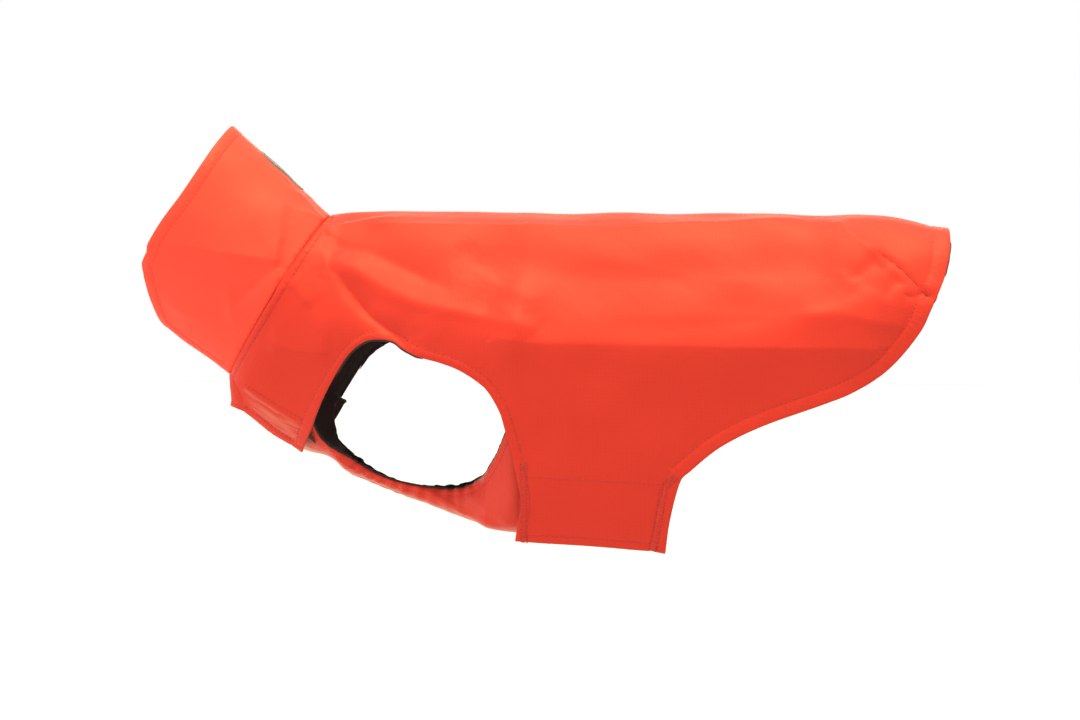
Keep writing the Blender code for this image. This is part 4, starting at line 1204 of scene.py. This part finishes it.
def tapes(cloth, name, corners, depth):
    """Left and right fastener tapes, sewn flat to a cloth at a depth below its outer face."""
    form = cloth.panel.form
    sides = [edge(form, ends, TAPE_STEP) for ends in zip(corners, corners[1:] + corners[:1])]
    panel = Panel(cloth.panel.form_name, dict(zip("abcd", sides)), {})
    numbers, cut = panel.cut(TAPE_STEP)
    made = []
    for side, word in ((-1, "left"), (1, "right")):
        points = cloth.place(numbers, np.full(len(numbers), side))
        faces = outward(form, numbers, points, cut)
        made.append(piece(
            f"{name}_tape_{word}", layer(points, faces, depth), faces, form.flat(numbers), black,
            (f"{name}_{word}",), TAPE,
        ))
    return made


def coat_panel():
    form = FORMS["coat"]
    front = COAT_FRONT_RING
    tail = form.place(REAR_HEM[-1:])[0, 0]
    throat = FORMS["collar"].place(COLLAR_FRONT[-1:])[0, 1]
    corner = form.point(front, throat)
    strap_front = edge(form, ((corner[0], corner[2]), *STRAP_FRONT))
    rear = edge(form, REAR_HEM)
    return Panel("coat", {
        "spine": straight(form, (tail, 0), (front, 0)),
        "seam": straight(form, (front, 0), (front, throat)),
        "strap_front": np.concatenate([[(front, throat)], strap_front[1:]]),
        "strap_end": edge(form, STRAP_END),
        "leg": edge(form, LEG_HOLE),
        "flap": edge(form, FLAP_END),
        "rear": np.concatenate([rear[:-1], [(tail, 0)]]),
    }, COAT_HEMS, "seam")


def collar_panel():
    form = FORMS["collar"]
    seam = form.rings - COLLAR_SEAM_RING
    tip = form.place(COLLAR_TOP[:1])[0, 0]
    throat = form.place(COLLAR_FRONT[-1:])[0, 1]
    first, last = SLIT_RINGS
    rows = np.linspace(0, 2, 60)
    widths = -form.point(np.full(60, first), rows)[:, 1]
    hole = np.interp(SLIT_HALF_WIDTH, widths, rows)
    top, front = edge(form, COLLAR_TOP), edge(form, COLLAR_FRONT)
    return Panel("collar", {
        "top": np.concatenate([[(tip, 0)], top[1:]]),
        "front": np.concatenate([front[:-1], [(seam, throat)]]),
        "seam": straight(form, (seam, throat), (seam, 0)),
        "nape": straight(form, (seam, 0), (last, 0)),
        "slit_end": straight(form, (last, 0), (last, hole)),
        "slit": straight(form, (last, hole), (first, hole)),
        "slit_start": straight(form, (first, hole), (first, 0)),
        "back": straight(form, (first, 0), (tip, 0)),
    }, COLLAR_HEMS)


def chest_panel():
    form = FORMS["chest"]
    front, rear = CHEST_FRONT_RING, CHEST_REAR_RING
    wing_front = (front, form.place(CHEST_WING_TOP[-1:])[0, 1])
    rear_top = (rear, form.place(CHEST_REAR_TOP[:1])[0, 1])
    wing, top = edge(form, CHEST_WING_TOP), edge(form, CHEST_REAR_TOP)
    return Panel("chest", {
        "leg": edge(form, CHEST_LEG_EDGE),
        "wing": np.concatenate([wing[:-1], [wing_front]]),
        "throat": straight(form, wing_front, (front, form.rows)),
        "keel": straight(form, (front, form.rows), (rear, form.rows)),
        "rear": straight(form, (rear, form.rows), rear_top),
        "rear_top": np.concatenate([[rear_top], top[1:]]),
    }, CHEST_HEMS)


def chest_inset(numbers):
    return CHEST_DEPTH * np.interp(numbers[:, 0], range(FORMS["chest"].rings + 1), CHEST_INSET)


def crease_lines(form_name):
    """Flat lines of points along and beside the crisp folds of a form."""
    form = FORMS[form_name]
    lines = []
    for _, where, path, _, _, _, round_off, _, _ in FOLDS:
        if where == form_name and round_off < 1:
            line = form.flat(edge(form, path))
            lines += [line + offset * square_to(line) for offset in (0, -1.2, 1.2, -2.8, 2.8)]
    return lines


def left_flat(cloth):
    """Each point's flat place, or its twin's on the left side."""
    return cloth.flat * np.stack([np.ones(len(cloth.sides)), -np.sign(cloth.sides)], axis=1)


def tape_sheen_streaks(cloth, corners):
    """How far each point lies within a tape's place, from 0 to 1, where pale streaks of painted highlight go,
    and its place along and across.
    """
    form = cloth.panel.form
    flat = left_flat(cloth)
    outline = form.flat(form.place(corners))
    closed = np.concatenate([outline, outline[:1]])
    margin = nearest(tree_of(respaced(closed, closed, 1.0)), flat)[1]
    heading = outline[1] - outline[0]
    heading = heading / np.linalg.norm(heading)
    off = flat - outline[0]
    return {
        "gloss_and_painted_sheen": np.where(inside(flat, outline), smooth(margin / 2.5), 0.0),
        "streak_along": off @ heading,
        "streak_across": off[:, 1] * heading[0] - off[:, 0] * heading[1],
    }


def chest_sheen_streaks(cloth):
    """Painted highlights on the chest panel, pale streaks standing for light on its creases, from its leg
    edge inward and from its middle to the front.
    """
    x, z = cloth.points[:, 0], cloth.points[:, 2]
    from_leg_edge = nearest(cloth.panel.trees["leg"], left_flat(cloth))[1]
    return {
        "gloss_and_painted_sheen": CHEST_PAINTED_SHEEN * smooth((from_leg_edge - 4) / 8) * smooth((CHEST_PAINTED_SHEEN_BEFORE - x) / 60),
        "streak_along": x - 0.5 * z,
        "streak_across": z + 0.35 * x,
    }


def welt(cloth):
    """Rounded reflective welt round the leash opening."""
    form = cloth.panel.form
    first, last = SLIT_RINGS
    front, rear = form.flat([(first, 0), (last, 0)])[:, 0]
    turn = np.linspace(0, math.pi / 2, 7)
    off_centre = SLIT_HALF_WIDTH + WELT_WIDTH / 2 - WELT_OVERLAP
    corner = np.stack([np.sin(turn), np.cos(turn)], axis=1) * off_centre
    half = np.concatenate([corner[::-1] * (-1, 1) + (front, 0), corner + (rear, 0)])
    (near, near_up), (far, far_up) = both_sides(cloth, respaced(half, half, 1.5))
    path = np.concatenate([near, far[-2:0:-1]])
    ups = np.concatenate([near_up, far_up[-2:0:-1]])
    share = (path[:, 0] - path[:, 0].min()) / np.ptp(path[:, 0])
    least, more, middle, spread = WELT_BULGE
    sizes = least + more * np.exp(-(((share - middle) / spread) ** 2))
    profile = circle(1.0, 10) * (WELT_WIDTH / 2, WELT_HEIGHT / 2)
    return sweep(path, ups, profile, closed=True, sizes=sizes)


orange = orange_cloth("orange rain cloth", 1.0)
# Collar cloth: a brighter copy of the orange cloth, painted light standing for light that shines through it
unlined = orange_cloth("orange collar cloth, painted lit through", COLLAR_PAINTED_GLOW)
chest_orange = orange_cloth("orange chest cloth", 1.0, gloss=0.2, crumple=0.5, rough=0.42)
charcoal = lining_cloth()
black = tape_cloth()
grey = binding_cloth()
# Red thread, darker than the cloth: partly its own colour and partly painted shade of the dents the stitches
# sink into
thread_with_dent_shade = thread_finish("red thread with painted dent shade", (0.36, 0.018, 0.011), (0.46, 0.025, 0.015))
orange_thread = thread_finish("orange thread", (0.50, 0.030, 0.017), (0.62, 0.038, 0.022))

# Coat and its lining
coat = Cloth(coat_panel(), crease_lines("coat"))
coat_cloth = orange_piece("coat_cloth", coat, orange, "coat_shell", SHELL, **tape_sheen_streaks(coat, STRAP_HOOK))
bars, dots = zip(*(zigzag(coat, *bar) for bar in ZIGZAG_BARS))
coat_thread = sewing("coat_thread", [
    *stitches(hem_runs(coat) + [run for line in STITCHED_LINES for run in line_runs(coat, line)]),
    *closed_seam(coat, coat.panel.stretches["seam"], 0.45, -0.45),
    *closed_seam(coat, edge(coat.panel.form, DART_SEAM, STITCH_STEP), 0.26, 0.0),
    *itertools.chain(*dots),
], thread_with_dent_shade)
coat_bars = sewing("flap_zigzag", itertools.chain(*bars), orange_thread)
strap_tapes = tapes(coat, "strap_hook", STRAP_HOOK, HOOK_DEPTH)
flap_tapes = tapes(coat, "flap_hook", FLAP_HOOK, HOOK_DEPTH)
coat_rolls = [part for row in COAT_ROLLS for part in rolled_edge(coat, *row)]
coat_roll = joined("coat_lining_roll", coat_rolls, charcoal)
coat_lining = lining_piece("coat_lining_cloth", coat, "coat_lining")

# Collar, with the bound leash opening
collar = Cloth(collar_panel(), crease_lines("collar"))
collar_cloth = orange_piece("collar_cloth", collar, unlined, "collar", COLLAR_CLOTH)
collar_thread = sewing("collar_thread", stitches(hem_runs(collar)), thread_with_dent_shade)
binding = joined("leash_welt", [welt(collar)], grey)
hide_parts("leash_binding")

# Chest panel and its lining
chest = Cloth(chest_panel(), crease_lines("chest"), chest_inset)
chest_cloth = orange_piece("chest_cloth", chest, chest_orange, "chest_panel", SHELL, **chest_sheen_streaks(chest))
chest_thread = sewing("chest_thread", stitches(hem_runs(chest)), thread_with_dent_shade)
chest_roll = joined("chest_lining_roll", rolled_edge(chest, *CHEST_ROLL), charcoal)
chest_tapes = tapes(chest, "chest_loop", CHEST_LOOP, LOOP_DEPTH)
belly_tapes = tapes(chest, "belly_loop", BELLY_LOOP, LOOP_DEPTH)
chest_lining = lining_piece("chest_lining_cloth", chest, "chest_lining")


# ---- Stage, lights and camera ----


def linked(name, data, toward=None, at=(0, 0, 0)):
    """An object in the scene, its -Z axis turned toward a direction."""
    made = bpy.data.objects.new(name, data)
    made.location = at
    if toward is not None:
        made.rotation_euler = Vector(toward).to_track_quat("-Z", "Y").to_euler()
    bpy.context.scene.collection.objects.link(made)
    return made


def pale_floor():
    mesh = bpy.data.meshes.new("floor")
    corners = [(x * FLOOR_HALF, y * FLOOR_HALF, FLOOR_LEVEL) for x, y in ((-1, -1), (1, -1), (1, 1), (-1, 1))]
    mesh.from_pydata(corners, [], [(0, 1, 2, 3)])
    paint = bpy.data.materials.new("pale floor")
    paint.use_nodes = True
    inputs = paint.node_tree.nodes["Principled BSDF"].inputs
    inputs["Base Color"].default_value = rgb(*FLOOR_COLOUR)
    inputs["Roughness"].default_value = 0.95
    inputs["Specular IOR Level"].default_value = 0.0
    mesh.materials.append(paint)
    linked("floor", mesh)


def studio_light():
    world = bpy.data.worlds.new("studio")
    world.use_nodes = True
    world.node_tree.nodes["Background"].inputs["Color"].default_value = rgb(1, 1, 1)
    world.node_tree.nodes["Background"].inputs["Strength"].default_value = 1.0
    bpy.context.scene.world = world
    for name, toward, energy, angle, colour in SUNS:
        light = bpy.data.lights.new(name, "SUN")
        light.energy, light.color, light.angle = energy, colour, math.radians(angle)
        linked(name, light, toward)
    name, at, toward, size, energy = LOW_LIGHT
    light = bpy.data.lights.new(name, "AREA")
    light.shape, light.size, light.size_y, light.energy = "RECTANGLE", *size, energy
    linked(name, light, toward, at).visible_camera = False


def camera():
    """The photograph's view: a little toward the tail and from a little above."""
    azimuth, elevation = math.radians(CAMERA_AZIMUTH), math.radians(CAMERA_ELEVATION)
    back = Vector((
        math.sin(azimuth) * math.cos(elevation),
        -math.cos(azimuth) * math.cos(elevation),
        math.sin(elevation),
    ))
    data = bpy.data.cameras.new("camera")
    data.sensor_width, data.lens = 36.0, CAMERA_LENS
    bpy.context.scene.camera = linked("camera", data, -back, Vector(CAMERA_AIM) + back * CAMERA_DISTANCE)


pale_floor()
studio_light()
camera()
bpy.context.scene.view_settings.view_transform = "Standard"
